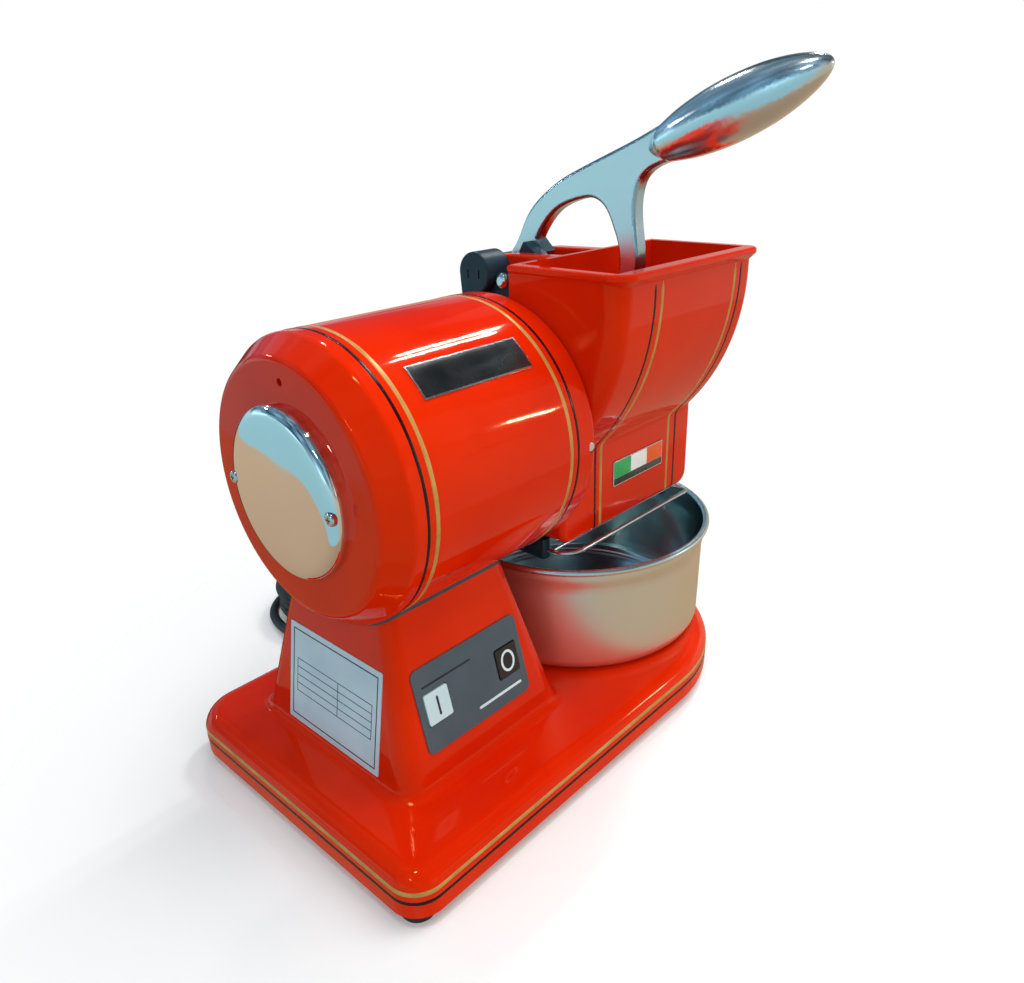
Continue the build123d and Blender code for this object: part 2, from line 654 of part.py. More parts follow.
with BuildPart() as lever_arm:
    with BuildSketch(side(LEV_X0)):
        with BuildLine():
            Spline((44.0, 270.5), (41.4, 274.1), (38.0, 278.2), (33.6, 285.0), (29.9, 292.2), (25.2, 299.1), (18.6, 305.5),
                   (11.2, 311.0), (2.0, 316.6), (-12.0, 322.8), (-27.8, 329.0), (-53.7, 339.2), (-63.3, 343.6))
            Polyline((-63.3, 343.6), (-70.0, 326.4))
            Spline((-70.0, 326.4), (-65.3, 324.9), (-60.2, 322.6), (-55.0, 318.0), (-52.4, 312.0), (-51.4, 305.0),
                   (-52.2, 293.0), (-54.4, 270.6))
            Polyline((-54.4, 270.6), pad(99.0, 4.0), pad(83.0, 4.0), (-40.6, 262.0))
            Spline((-40.6, 262.0), (-41.2, 276.0), (-39.6, 285.4), (-36.6, 292.6), (-33.0, 299.8), (-28.2, 305.0),
                   (-22.6, 307.4), (-16.0, 307.2), (-6.8, 305.0), (4.5, 300.0), (12.3, 293.0), (19.5, 282.5))
            Polyline((19.5, 282.5), (13.0, 276.0), (19.5, 264.5), (34.0, 258.4), (44.0, 270.5))
        make_face()
    extrude(amount=LEV_X1 - LEV_X0)
    # the long edges of the flat arm are well rounded
    rims = lever_arm.edges().filter_by(GeomType.BSPLINE)
    leg = lever_arm.edges().filter_by(GeomType.LINE).filter_by(
        lambda e: abs((e @ 0).X - (e @ 1).X) < 0.01 and min(abs((e @ t).Y - (Y0 - 54.4)) for t in (0, 1)) < 0.01)
    fillet(rims + leg, 2.2)
    with BuildSketch(side(HUB_X0)):
        with Locations((PIV_Y, PIV_Z)):
            Circle(HUB_R)
    extrude(amount=HUB_X1 - HUB_X0)
    # foot that carries the presser plate
    with BuildSketch(side(57.0)):
        with BuildLine():
            Polyline(pad(74.0, 3.0), pad(108.0, 3.0), pad(108.0, 8.0), pad(74.0, 8.0), close=True)
        make_face()
    extrude(amount=29.0)
    with BuildSketch(side(40.0)):
        with Locations((PIV_Y, PIV_Z)):
            Circle(PIN_R + 0.05)
    extrude(amount=60.0, mode=Mode.SUBTRACT)
    for r in (78.5, 103.5):
        q = pad(r, 3.0)
        with BuildSketch(Plane(origin=(X0 + 71.5, Y0 + q[0], q[1]), x_dir=(1, 0, 0), z_dir=(0, PW[0], PW[1]))):
            with Locations((-9.5, 0), (9.5, 0)):
                Circle(2.02)
        extrude(amount=8.0, mode=Mode.SUBTRACT)

with BuildPart() as lever_grip:
    with BuildSketch(Plane(origin=(X0 + 71.5, Y0 + GRIP_O[0], GRIP_O[1]), x_dir=(0, GRIP_U[0], GRIP_U[1]), z_dir=(1, 0, 0))):
        with BuildLine():
            Spline((-4.5, 4.3), (-2.0, 5.3), (1.0, 7.1), (3.6, 8.7), (6.5, 9.85), tangents=((1.0, 0.25), (1.0, 0.26)))
            Spline(*GRIP_R, tangents=((1.0, 0.26), (0, -1)))
            Polyline((96.05, 0), (-4.5, 0), (-4.5, 4.3))
        make_face()
    revolve(axis=Axis((X0 + 71.5, Y0 + GRIP_O[0], GRIP_O[1]), (0, GRIP_U[0], GRIP_U[1])))

with BuildPart() as lever_whole:
    add(lever_arm.part)
    add(lever_grip.part)
lever_whole.part.label = "lever_arm"
export_step(lever_whole.part, "parts/lever_arm.step")

with BuildPart() as presser_plate:
    with BuildSketch(side(14.5)):
        with BuildLine():
            Polyline(pad(64.5, -3.0), pad(122.0, -3.0), pad(122.0, 3.0), pad(64.5, 3.0), close=True)
        make_face()
    extrude(amount=114.0)
    for r in (78.5, 103.5):
        q = pad(r, -3.0)
        with BuildSketch(Plane(origin=(X0 + 71.5, Y0 + q[0], q[1]), x_dir=(1, 0, 0), z_dir=(0, PW[0], PW[1]))):
            with Locations((-9.5, 0), (9.5, 0)):
                Circle(2.02)
        extrude(amount=8.0, mode=Mode.SUBTRACT)
presser_plate.part.label = "presser_plate"
export_step(presser_plate.part, "parts/presser_plate.step")

with BuildPart() as presser_screws:
    for r in (78.5, 103.5):
        q = pad(r, 8.0)
        with BuildSketch(Plane(origin=(X0 + 71.5, Y0 + q[0], q[1]), x_dir=(1, 0, 0), z_dir=(0, PW[0], PW[1]))):
            with Locations((-9.5, 0), (9.5, 0)):
                Circle(3.6)
        extrude(amount=2.6)
        q = pad(r, -2.0)
        with BuildSketch(Plane(origin=(X0 + 71.5, Y0 + q[0], q[1]), x_dir=(1, 0, 0), z_dir=(0, PW[0], PW[1]))):
            with Locations((-9.5, 0), (9.5, 0)):
                Circle(2.0)
        extrude(amount=10.2)
presser_screws.part.label = "presser_screws"
export_step(presser_screws.part, "parts/presser_screws.step")

with BuildPart() as hinge_pin:
    with BuildSketch(side(44.0)):
        with Locations((PIV_Y, PIV_Z)):
            Circle(PIN_R)
    extrude(amount=52.0)
    with BuildSketch(side(96.0)):
        with Locations((PIV_Y, PIV_Z)):
            Circle(7.5)
    extrude(amount=3.5)
    fillet(hinge_pin.edges().filter_by(GeomType.CIRCLE).group_by(Axis.X)[-1], 1.5)
hinge_pin.part.label = "hinge_pin"
export_step(hinge_pin.part, "parts/hinge_pin.step")

with BuildPart() as hinge_switch_housing:
    with BuildSketch(side(27.5)):
        with BuildLine():
            Line((29.15, 255.85), (29.15, 249.0))
            Line((29.15, 249.0), (46.2, 249.0))
            Line((46.2, 249.0), (47.6, 266.5))
            ThreePointArc((47.6, 266.5), (35.3, 278.8), (23.0, 266.5))
            ThreePointArc((23.0, 266.5), (24.65, 260.35), (29.15, 255.85))
        make_face()
    extrude(amount=19.5)
    fillet(hinge_switch_housing.faces().sort_by(Axis.X)[0].edges(), 1.5)
    with BuildSketch(side(34.5)):
        with Locations((21.0, 257.5)):
            Rectangle(20.0, 17.0)
    extrude(amount=12.5)
    with BuildSketch(side(43.0)):
        with Locations((PIV_Y, PIV_Z)):
            Circle(6.0)
    extrude(amount=5.0, mode=Mode.SUBTRACT)
    with BuildSketch(side(26.5)):
        with Locations((35.3, 266.0)):
            with Locations((-4.5, 0), (4.5, 0)):
                Rectangle(1.2, 5.0)
    extrude(amount=1.7, mode=Mode.SUBTRACT)
    with BuildSketch(side(30.0)):
        with Locations((18.0, 262.8)):
            Circle(2.02)
    extrude(amount=20.0, mode=Mode.SUBTRACT)
hinge_switch_housing.part.label = "hinge_switch_housing"
export_step(hinge_switch_housing.part, "parts/hinge_switch_housing.step")

with BuildPart() as hinge_switch_screw:
    with BuildSketch(side(31.5)):
        with Locations((18.0, 262.8)):
            Circle(4.6)
    extrude(amount=3.0)
    fillet(hinge_switch_screw.edges().group_by(Axis.X)[0], 2.6)
    with BuildSketch(side(34.5)):
        with Locations((18.0, 262.8)):
            Circle(2.0)
    extrude(amount=12.4)
hinge_switch_screw.part.label = "hinge_switch_screw"
export_step(hinge_switch_screw.part, "parts/hinge_switch_screw.step")

CAM_A = (22.4, 282.1)
CAM_D1 = (-0.86, -0.5103)
CAM_D2 = (0.5103, -0.86)


def cam(a, b):
    return (CAM_A[0] + a * CAM_D1[0] + b * CAM_D2[0], CAM_A[1] + a * CAM_D1[1] + b * CAM_D2[1])


with BuildPart() as lever_cam_block:
    with BuildSketch(side(HUB_X0 + 0.3)):
        with BuildLine():
            Polyline(cam(0, 0), cam(15.5, 0), cam(15.5, 14), cam(0, 14), close=True)
        make_face()
    extrude(amount=LEV_X0 - HUB_X0 - 0.3)
    q = cam(10.5, 6)
    with BuildSketch(side(50)):
        with Locations(q):
            Circle(1.52)
    extrude(amount=30, mode=Mode.SUBTRACT)
    with BuildSketch(side(50)):
        with Locations(q):
            Circle(3.3)
    extrude(amount=11.0, mode=Mode.SUBTRACT)
lever_cam_block.part.label = "lever_cam_block"
export_step(lever_cam_block.part, "parts/lever_cam_block.step")

with BuildPart() as cam_block_screw:
    with BuildSketch(side(58.4)):
        with Locations(cam(10.5, 6)):
            Circle(3.0)
    extrude(amount=2.6)
    with BuildSketch(side(61.0)):
        with Locations(cam(10.5, 6)):
            Circle(1.5)
    extrude(amount=5.5)
cam_block_screw.part.label = "cam_block_screw"
export_step(cam_block_screw.part, "parts/cam_block_screw.step")

# ------------------------------------------------------------------
# switch panel, buttons, switch unit
# ------------------------------------------------------------------
with BuildPart() as switch_panel:
    with BuildSketch(panel_plane):
        RectangleRounded(77.0, 47.0, 4.0)
        with Locations((-BTN_DX, 0), (BTN_DX, 0)):
            RectangleRounded(17.0, 18.1, 1.5, mode=Mode.SUBTRACT)
    extrude(amount=0.8)
switch_panel.part.label = "switch_panel"
export_step(switch_panel.part, "parts/switch_panel.step")

with BuildPart() as start_button:
    with BuildSketch(panel_plane.offset(-13.5)):
        with Locations((-BTN_DX, 0)):
            RectangleRounded(16.2, 17.3, 1.2)
    extrude(amount=15.0)
    fillet(start_button.faces().sort_by(Axis((0, 0, 0), PANEL_N))[-1].edges(), 0.4)
start_button.part.label = "start_button"
export_step(start_button.part, "parts/start_button.step")

with BuildPart() as stop_button:
    with BuildSketch(panel_plane.offset(-13.5)):
        with Locations((BTN_DX, 0)):
            RectangleRounded(16.2, 17.3, 1.2)
    extrude(amount=15.0)
    fillet(stop_button.faces().sort_by(Axis((0, 0, 0), PANEL_N))[-1].edges(), 0.4)
stop_button.part.label = "stop_button"
export_step(stop_button.part, "parts/stop_button.step")

# switch unit behind the front wall, clipped to it by a collar
with BuildPart() as switch_body:
    with BuildSketch(panel_plane.offset(-17.0)):
        RectangleRounded(74.0, 26.0, 2.0)
    extrude(amount=-14.0)
    with BuildSketch(panel_plane.offset(-17.0)):
        RectangleRounded(74.0, 26.0, 2.0)
        with Locations((-BTN_DX, 0), (BTN_DX, 0)):
            Rectangle(17.6, 18.7, mode=Mode.SUBTRACT)
    extrude(amount=10.3)
switch_body.part.label = "switch_body"
export_step(switch_body.part, "parts/switch_body.step")

# ------------------------------------------------------------------
# plates and label
# ------------------------------------------------------------------
with BuildPart() as rating_label:
    with BuildSketch(label_plane.offset(0.03)):
        RectangleRounded(80.0, 60.0, 1.0)
    extrude(amount=0.4)
rating_label.part.label = "rating_label"
export_step(rating_label.part, "parts/rating_label.step")

PLATE_A0, PLATE_A1 = 126.6, 140.8


def on_case(r, deg):
    return (r * math.cos(math.radians(deg)), AXIS_Z + r * math.sin(math.radians(deg)))


with BuildPart() as name_plate:
    with BuildSketch(side(-97.0)):
        with BuildLine():
            ThreePointArc(on_case(CASE_R, PLATE_A0), on_case(CASE_R, (PLATE_A0 + PLATE_A1) / 2), on_case(CASE_R, PLATE_A1))
            Line(on_case(CASE_R, PLATE_A1), on_case(CASE_R + 0.7, PLATE_A1))
            ThreePointArc(on_case(CASE_R + 0.7, PLATE_A1), on_case(CASE_R + 0.7, (PLATE_A0 + PLATE_A1) / 2),
                          on_case(CASE_R + 0.7, PLATE_A0))
            Line(on_case(CASE_R + 0.7, PLATE_A0), on_case(CASE_R, PLATE_A0))
        make_face()
    extrude(amount=71.5)
name_plate.part.label = "name_plate"
export_step(name_plate.part, "parts/name_plate.step")

with BuildPart() as tricolour_plate:
    with BuildSketch(front(-THROAT_Y)):
        with Locations((80.25, 150.8)):
            RectangleRounded(52.5, 16.4, 0.8)
    extrude(amount=0.7)
tricolour_plate.part.label = "tricolour_plate"
export_step(tricolour_plate.part, "parts/tricolour_plate.step")

# ------------------------------------------------------------------
# bowl
# ------------------------------------------------------------------
BOWL_PLANE = Plane(origin=(X0 + BOWL_X, Y0, 0), x_dir=(1, 0, 0), z_dir=(0, -1, 0))
with BuildPart() as bowl:
    with BuildSketch(BOWL_PLANE):
        with BuildLine():
            Line((0, 32.6), (0, 33.8))
            Line((0, 33.8), (30, 33.8))
            Line((30, 33.8), (31, 32.3))
            Line((31, 32.3), (77.2, 32.3))
            ThreePointArc((77.2, 32.3), (81.94, 34.26), (83.9, 39.0))
            Line((83.9, 39.0), (84.65, 87.0))
            Spline((84.65, 87.0), (85.1, 91.5), (86.3, 97.0), (86.7, 102.5), tangents=((0.016, 1), (0, 1)))
            Line((86.7, 102.5), (88.0, 102.5))
            Spline((88.0, 102.5), (87.6, 96.7), (86.4, 91.2), (85.95, 87.0), tangents=((0, -1), (-0.016, -1)))
            Line((85.95, 87.0), (85.2, 39.0))
            ThreePointArc((85.2, 39.0), (82.857, 33.343), (77.2, BASE_Z1))
            Line((77.2, BASE_Z1), (30.5, BASE_Z1))
            Line((30.5, BASE_Z1), (29.5, 32.6))
            Line((29.5, 32.6), (0, 32.6))
        make_face()
    revolve(axis=Axis((X0 + BOWL_X, Y0, 0), (0, 0, 1)))
    with BuildSketch(BOWL_PLANE):
        with Locations((BOWL_RIM_R - 2.1, 102.9)):
            Circle(2.1)
    revolve(axis=Axis((X0 + BOWL_X, Y0, 0), (0, 0, 1)))
bowl.part.label = "bowl"
export_step(bowl.part, "parts/bowl.step")

# ------------------------------------------------------------------
# rod guard under the outlet
# ------------------------------------------------------------------
RAIL_L, RAIL_R = (7.0, 13.5), (133.0, 139.5)
ROD_Y = [-27.0, -13.5, 0.0, 13.5, 27.0]
GUARD_SCREWS = [(9.0, -20.2), (9.0, 20.2), (137.6, -20.2), (137.6, 20.2)]
with BuildPart() as guard_rods:
    for y in ROD_Y:
        with BuildSketch(Plane(origin=(X0 + 8.5, Y0 + y, 114.7), x_dir=(0, 1, 0), z_dir=(1, 0, 0))):
            Circle(1.2)
        extrude(amount=129.5)
    # hoop in front of the outlet, with one more rod across its legs
    with BuildLine() as hoop:
        FilletPolyline((X0 + 10.2, Y0 - 30.0, 111.4), (X0 + 10.2, Y0 - 53.0, 114.1), (X0 + 136.6, Y0 - 53.0, 114.1),
                       (X0 + 136.6, Y0 - 30.0, 111.4), radius=[11.5, 4.0])
    with BuildSketch(Plane(origin=(X0 + 10.2, Y0 - 30.0, 111.4), x_dir=(1, 0, 0), z_dir=(0, -23.0, 2.7))):
        Circle(1.35)
    sweep(path=hoop.wires()[0])
    with BuildSketch(Plane(origin=(X0 + 8.8, Y0 - 41.0, 114.7), x_dir=(0, 1, 0), z_dir=(1, 0, 0))):
        Circle(1.0)
    extrude(amount=129.2)
guard_rods.part.label = "guard_rods"
export_step(guard_rods.part, "parts/guard_rods.step")

with BuildPart() as guard_rails:
    for x0, x1 in (RAIL_L, RAIL_R):
        with BuildSketch(level(107.0)):
            with Locations(((x0 + x1) / 2, 0)):
                RectangleRounded(x1 - x0, 70.0, 2.0)
        extrude(amount=THROAT_Z0 - 107.0)
    add(guard_rods.part, mode=Mode.SUBTRACT)
    with BuildSketch(level(105.0)):
        with Locations(*GUARD_SCREWS):
            Circle(1.25)
    extrude(amount=18.0, mode=Mode.SUBTRACT)
    with BuildSketch(level(105.0)):
        with Locations(*GUARD_SCREWS):
            Circle(1.75)
    extrude(amount=4.4, mode=Mode.SUBTRACT)
guard_rails.part.label = "guard_rails"
export_step(guard_rails.part, "parts/guard_rails.step")

with BuildPart() as guard_screws:
    with BuildSketch(level(107.3)):
        with Locations(*GUARD_SCREWS):
            Circle(1.7)
    extrude(amount=2.1)
    with BuildSketch(level(109.4)):
        with Locations(*GUARD_SCREWS):
            Circle(1.2)
    extrude(amount=16.5)
guard_screws.part.label = "guard_screws"
export_step(guard_screws.part, "parts/guard_screws.step")

# ------------------------------------------------------------------
# electrics in the pedestal
# ------------------------------------------------------------------
with BuildPart() as capacitor:
    with BuildSketch(side(-110.0)):
        with Locations((26.0, 29.6)):
            Circle(17.5)
    extrude(amount=66.0)
    fillet(capacitor.edges().filter_by(GeomType.CIRCLE).group_by(Axis.X)[0], 3.0)
capacitor.part.label = "capacitor"
export_step(capacitor.part, "parts/capacitor.step")

with BuildPart() as capacitor_clip:
    with BuildSketch(side(-86.0)):
        with Locations((26.0, 29.6)):
            Circle(19.0)
        with Locations((26.0, 10.3)):
            Rectangle(54.0, 1.6)
        with Locations((26.0, 29.6)):
            Circle(17.5, mode=Mode.SUBTRACT)
    extrude(amount=14.0)
    with BuildSketch(level(9.5)):
        with Locations((-79.0, 26.0)):
            Rectangle(200, 200)
    extrude(amount=-10.0, mode=Mode.SUBTRACT)
capacitor_clip.part.label = "capacitor_clip"
export_step(capacitor_clip.part, "parts/capacitor_clip.step")

with BuildPart() as terminal_block:
    with BuildSketch(level(9.5)):
        with Locations((-65.0, -14.0)):
            Rectangle(44.0, 20.0)
    extrude(amount=15.0)
    with BuildSketch(level(24.5)):
        with Locations((-65.0, -14.0)):
            with GridLocations(10.0, 10.0, 4, 2):
                Circle(2.6)
    extrude(amount=-6.0, mode=Mode.SUBTRACT)
terminal_block.part.label = "terminal_block"
export_step(terminal_block.part, "parts/terminal_block.step")

# ------------------------------------------------------------------
# mains cord: gland, lead, coil, tie, tail and plug
# ------------------------------------------------------------------
GLAND = Plane(origin=(X0 + GLAND_X, Y0, GLAND_Z), x_dir=(0, 1, 0), z_dir=(1, 0, 0))
with BuildPart() as cord_gland:
    with BuildSketch(GLAND):
        with BuildLine():
            Polyline((95.0, 3.6), (95.0, 7.2), (97.4, 7.2), (97.4, 5.95), (102.5, 5.95), (102.5, 9.0), (105.0, 9.0),
                     (105.0, 7.0), (123.0, 4.9), (123.0, 3.6), close=True)
        make_face()
    revolve(axis=Axis((X0 + GLAND_X, Y0, GLAND_Z), (0, 1, 0)))
cord_gland.part.label = "cord_gland"
export_step(cord_gland.part, "parts/cord_gland.step")


def corner_radii(pts):
    out = []
    for a, b, c in zip(pts, pts[1:], pts[2:]):
        u = [b[i] - a[i] for i in range(3)]
        v = [c[i] - b[i] for i in range(3)]
        lu = math.sqrt(sum(k * k for k in u))
        lv = math.sqrt(sum(k * k for k in v))
        turn = math.acos(max(-1, min(1, sum(p * q for p, q in zip(u, v)) / lu / lv)))
        out.append(0.45 * min(lu, lv) / math.tan(turn / 2))
    return out


def polar(r, deg):
    a = math.radians(deg)
    return (COIL_X + r * math.cos(a), COIL_Y + r * math.sin(a))


def at(p, z):
    return (X0 + p[0], Y0 + p[1], z)


LEAD = [at((GLAND_X, 118.0), 18.5), at((GLAND_X, 132.0), 18.5), at((GLAND_X, 144.6), 15.1),
        at((GLAND_X, 158.4), 7.3), at((GLAND_X, 171.0), 3.8), at(polar(51.5, 154), 3.6),
        at(polar(50.2, 130), 3.6), at(polar(47.5, 108), 3.6)]
lead_r = corner_radii(LEAD)
print("lead radii", [round(r, 1) for r in lead_r])
with BuildPart() as cord_lead:
    with BuildLine() as lead_path:
        FilletPolyline(*LEAD, radius=lead_r)
    with BuildSketch(Plane(origin=LEAD[0], x_dir=(1, 0, 0), z_dir=(0, 1, 0))):
        Circle(CORD_D / 2)
    sweep(path=lead_path.wires()[0])
cord_lead.part.label = "cord_lead"
export_step(cord_lead.part, "parts/cord_lead.step")
print("lead volume / section x length", cord_lead.part.volume / (math.pi * CORD_D ** 2 / 4 * lead_path.wires()[0].length))

with BuildPart() as cord_coil:
    with BuildSketch(level(0.0)):
        with Locations((COIL_X, COIL_Y)):
            Circle(COIL_OUT)
            Circle(COIL_IN, mode=Mode.SUBTRACT)
    extrude(amount=COIL_H)
cord_coil.part.label = "cord_coil"
export_step(cord_coil.part, "parts/cord_coil.step")

TIE_X = COIL_X + 37.0
with BuildPart() as cord_tie:
    with BuildSketch(Plane(origin=(X0 + TIE_X, Y0 + COIL_Y - 4.0, COIL_H / 2), x_dir=(1, 0, 0), z_dir=(0, 1, 0))):
        RectangleRounded(25.0, COIL_H + 2.0, 3.0)
        RectangleRounded(21.0, COIL_H, 1.0, mode=Mode.SUBTRACT)
    extrude(amount=8.0)
    with BuildSketch(level(-5.0)):
        with Locations((TIE_X, COIL_Y)):
            Rectangle(60, 60)
    extrude(amount=5.0, mode=Mode.SUBTRACT)
    with BuildSketch(level(0.0)):
        with Locations((COIL_X, COIL_Y)):
            Circle(COIL_OUT)
            Circle(COIL_IN, mode=Mode.SUBTRACT)
    extrude(amount=COIL_H, mode=Mode.SUBTRACT)
cord_tie.part.label = "cord_tie"
export_step(cord_tie.part, "parts/cord_tie.step")

TAIL_Y = COIL_Y + 44.0
TAIL = [at((-1.0, TAIL_Y), 24.5), at((11.5, TAIL_Y), 24.0), at((27.5, TAIL_Y), 19.8), at((44.5, TAIL_Y), 13.6),
        at((60.0, TAIL_Y), 11.0), at((73.0, TAIL_Y), 11.0)]
tail_r = corner_radii(TAIL)
print("tail radii", [round(r, 1) for r in tail_r])
with BuildPart() as cord_tail:
    with BuildLine() as tail_path:
        FilletPolyline(*TAIL, radius=tail_r)
    tail_d = (TAIL[1][0] - TAIL[0][0], 0, TAIL[1][2] - TAIL[0][2])
    with BuildSketch(Plane(origin=TAIL[0], x_dir=(0, 1, 0), z_dir=tail_d)):
        Circle(CORD_D / 2)
    sweep(path=tail_path.wires()[0])
cord_tail.part.label = "cord_tail"
export_step(cord_tail.part, "parts/cord_tail.step")

PLUG_X = 73.0
PLUG = Plane(origin=(X0 + PLUG_X, Y0 + TAIL_Y, 11.0), x_dir=(0, 1, 0), z_dir=(1, 0, 0))
with BuildPart() as plug_body:
    with BuildSketch(PLUG):
        Circle(4.6)
    with BuildSketch(PLUG.offset(20.0)):
        Circle(7.0)
    loft()
    with BuildSketch(PLUG.offset(20.0)):
        RectangleRounded(20.0, 17.0, 6.0)
    with BuildSketch(PLUG.offset(38.0)):
        RectangleRounded(26.0, 21.6, 8.0)
    loft()
    with BuildSketch(PLUG.offset(38.0)):
        RectangleRounded(26.0, 21.6, 8.0)
    extrude(amount=12.0)
    with BuildSketch(PLUG.offset(50.0)):
        with Locations((-6.35, 2.5), (6.35, 2.5)):
            Rectangle(1.54, 6.34)
        with Locations((0, -6.0)):
            Circle(2.39)
    extrude(amount=-6.0, mode=Mode.SUBTRACT)
plug_body.part.label = "plug_body"
export_step(plug_body.part, "parts/plug_body.step")

with BuildPart() as plug_pins:
    with BuildSketch(PLUG.offset(44.0)):
        with Locations((-6.35, 2.5), (6.35, 2.5)):
            Rectangle(1.5, 6.3)
    extrude(amount=22.0)
    with BuildSketch(PLUG.offset(44.0)):
        with Locations((0, -6.0)):
            Circle(2.37)
    extrude(amount=25.0)
plug_pins.part.label = "plug_pins"
export_step(plug_pins.part, "parts/plug_pins.step")

whole = [base_casting, bottom_plate, rubber_feet, foot_screws, saddle_gasket, casing_bolts, motor_casing, end_cover_disc,
         end_cover_screws, hopper_finish, lever_whole, bowl, guard_rods, guard_rails]
bb = Compound(children=[Compound(w.part.wrapped) for w in whole]).bounding_box()
print("box", bb.min, bb.max)
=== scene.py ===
import json
import math

import bmesh
import bpy
from mathutils import Matrix, Vector


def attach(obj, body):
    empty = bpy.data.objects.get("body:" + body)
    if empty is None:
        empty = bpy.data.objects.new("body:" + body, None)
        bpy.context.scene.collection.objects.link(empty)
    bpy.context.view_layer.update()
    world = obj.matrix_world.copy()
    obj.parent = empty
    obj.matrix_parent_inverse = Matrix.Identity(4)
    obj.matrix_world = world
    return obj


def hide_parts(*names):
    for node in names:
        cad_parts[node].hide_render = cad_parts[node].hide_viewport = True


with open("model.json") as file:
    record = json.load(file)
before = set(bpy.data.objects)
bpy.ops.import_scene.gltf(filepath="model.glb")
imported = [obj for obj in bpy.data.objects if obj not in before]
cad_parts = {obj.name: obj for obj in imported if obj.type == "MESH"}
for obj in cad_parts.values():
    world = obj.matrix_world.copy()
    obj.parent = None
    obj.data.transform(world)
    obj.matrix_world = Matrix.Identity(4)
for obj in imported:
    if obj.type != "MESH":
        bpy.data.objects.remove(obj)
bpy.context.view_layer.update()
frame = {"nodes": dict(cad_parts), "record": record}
NODES = frame["nodes"]
BODY_OF = {n: b for b, members in frame["record"]["behaviour"]["bodies"].items() for n in members}
SCENE = bpy.context.scene

# Sections are written in millimetres, x from the middle of the base and y from
# the motor axis, as in the CAD source. P() turns them into the row frame.
X0, Y0 = -3.175, 24.64
AXIS_Z = 188.8


def P(x, y, z):
    return Vector(((x + X0) * 0.001, (y + Y0) * 0.001, z * 0.001))


# ------------------------------------------------------------------
# camera
# ------------------------------------------------------------------
def camera():
    yaw, pitch, roll = (math.radians(a) for a in (46.70094, -23.20597, -1.72374))
    fwd = Vector((math.sin(yaw) * math.cos(pitch), math.cos(yaw) * math.cos(pitch), math.sin(pitch)))
    right = fwd.cross(Vector((0, 0, 1))).normalized()
    up = right.cross(fwd)
    r2 = right * math.cos(roll) + up * math.sin(roll)
    u2 = up * math.cos(roll) - right * math.sin(roll)
    m = Matrix((r2, u2, -fwd)).transposed().to_4x4()
    m.translation = P(-327.47, -325.37, 341.79)
    data = bpy.data.cameras.new("camera")
    data.sensor_fit = "HORIZONTAL"
    data.sensor_width = 36.0
    data.lens = 833.387 * 36.0 / 1024.0
    data.clip_start = 0.01
    data.clip_end = 60.0
    ob = bpy.data.objects.new("camera", data)
    SCENE.collection.objects.link(ob)
    ob.matrix_world = m
    SCENE.camera = ob


camera()


# ------------------------------------------------------------------
# materials
# ------------------------------------------------------------------
SOCKETS = {"color": "Base Color", "metal": "Metallic", "rough": "Roughness", "spec": "Specular IOR Level",
           "tint": "Specular Tint", "coat": "Coat Weight", "coat_rough": "Coat Roughness", "ior": "IOR",
           "aniso": "Anisotropic", "sheen": "Sheen Weight", "sss": "Subsurface Weight"}


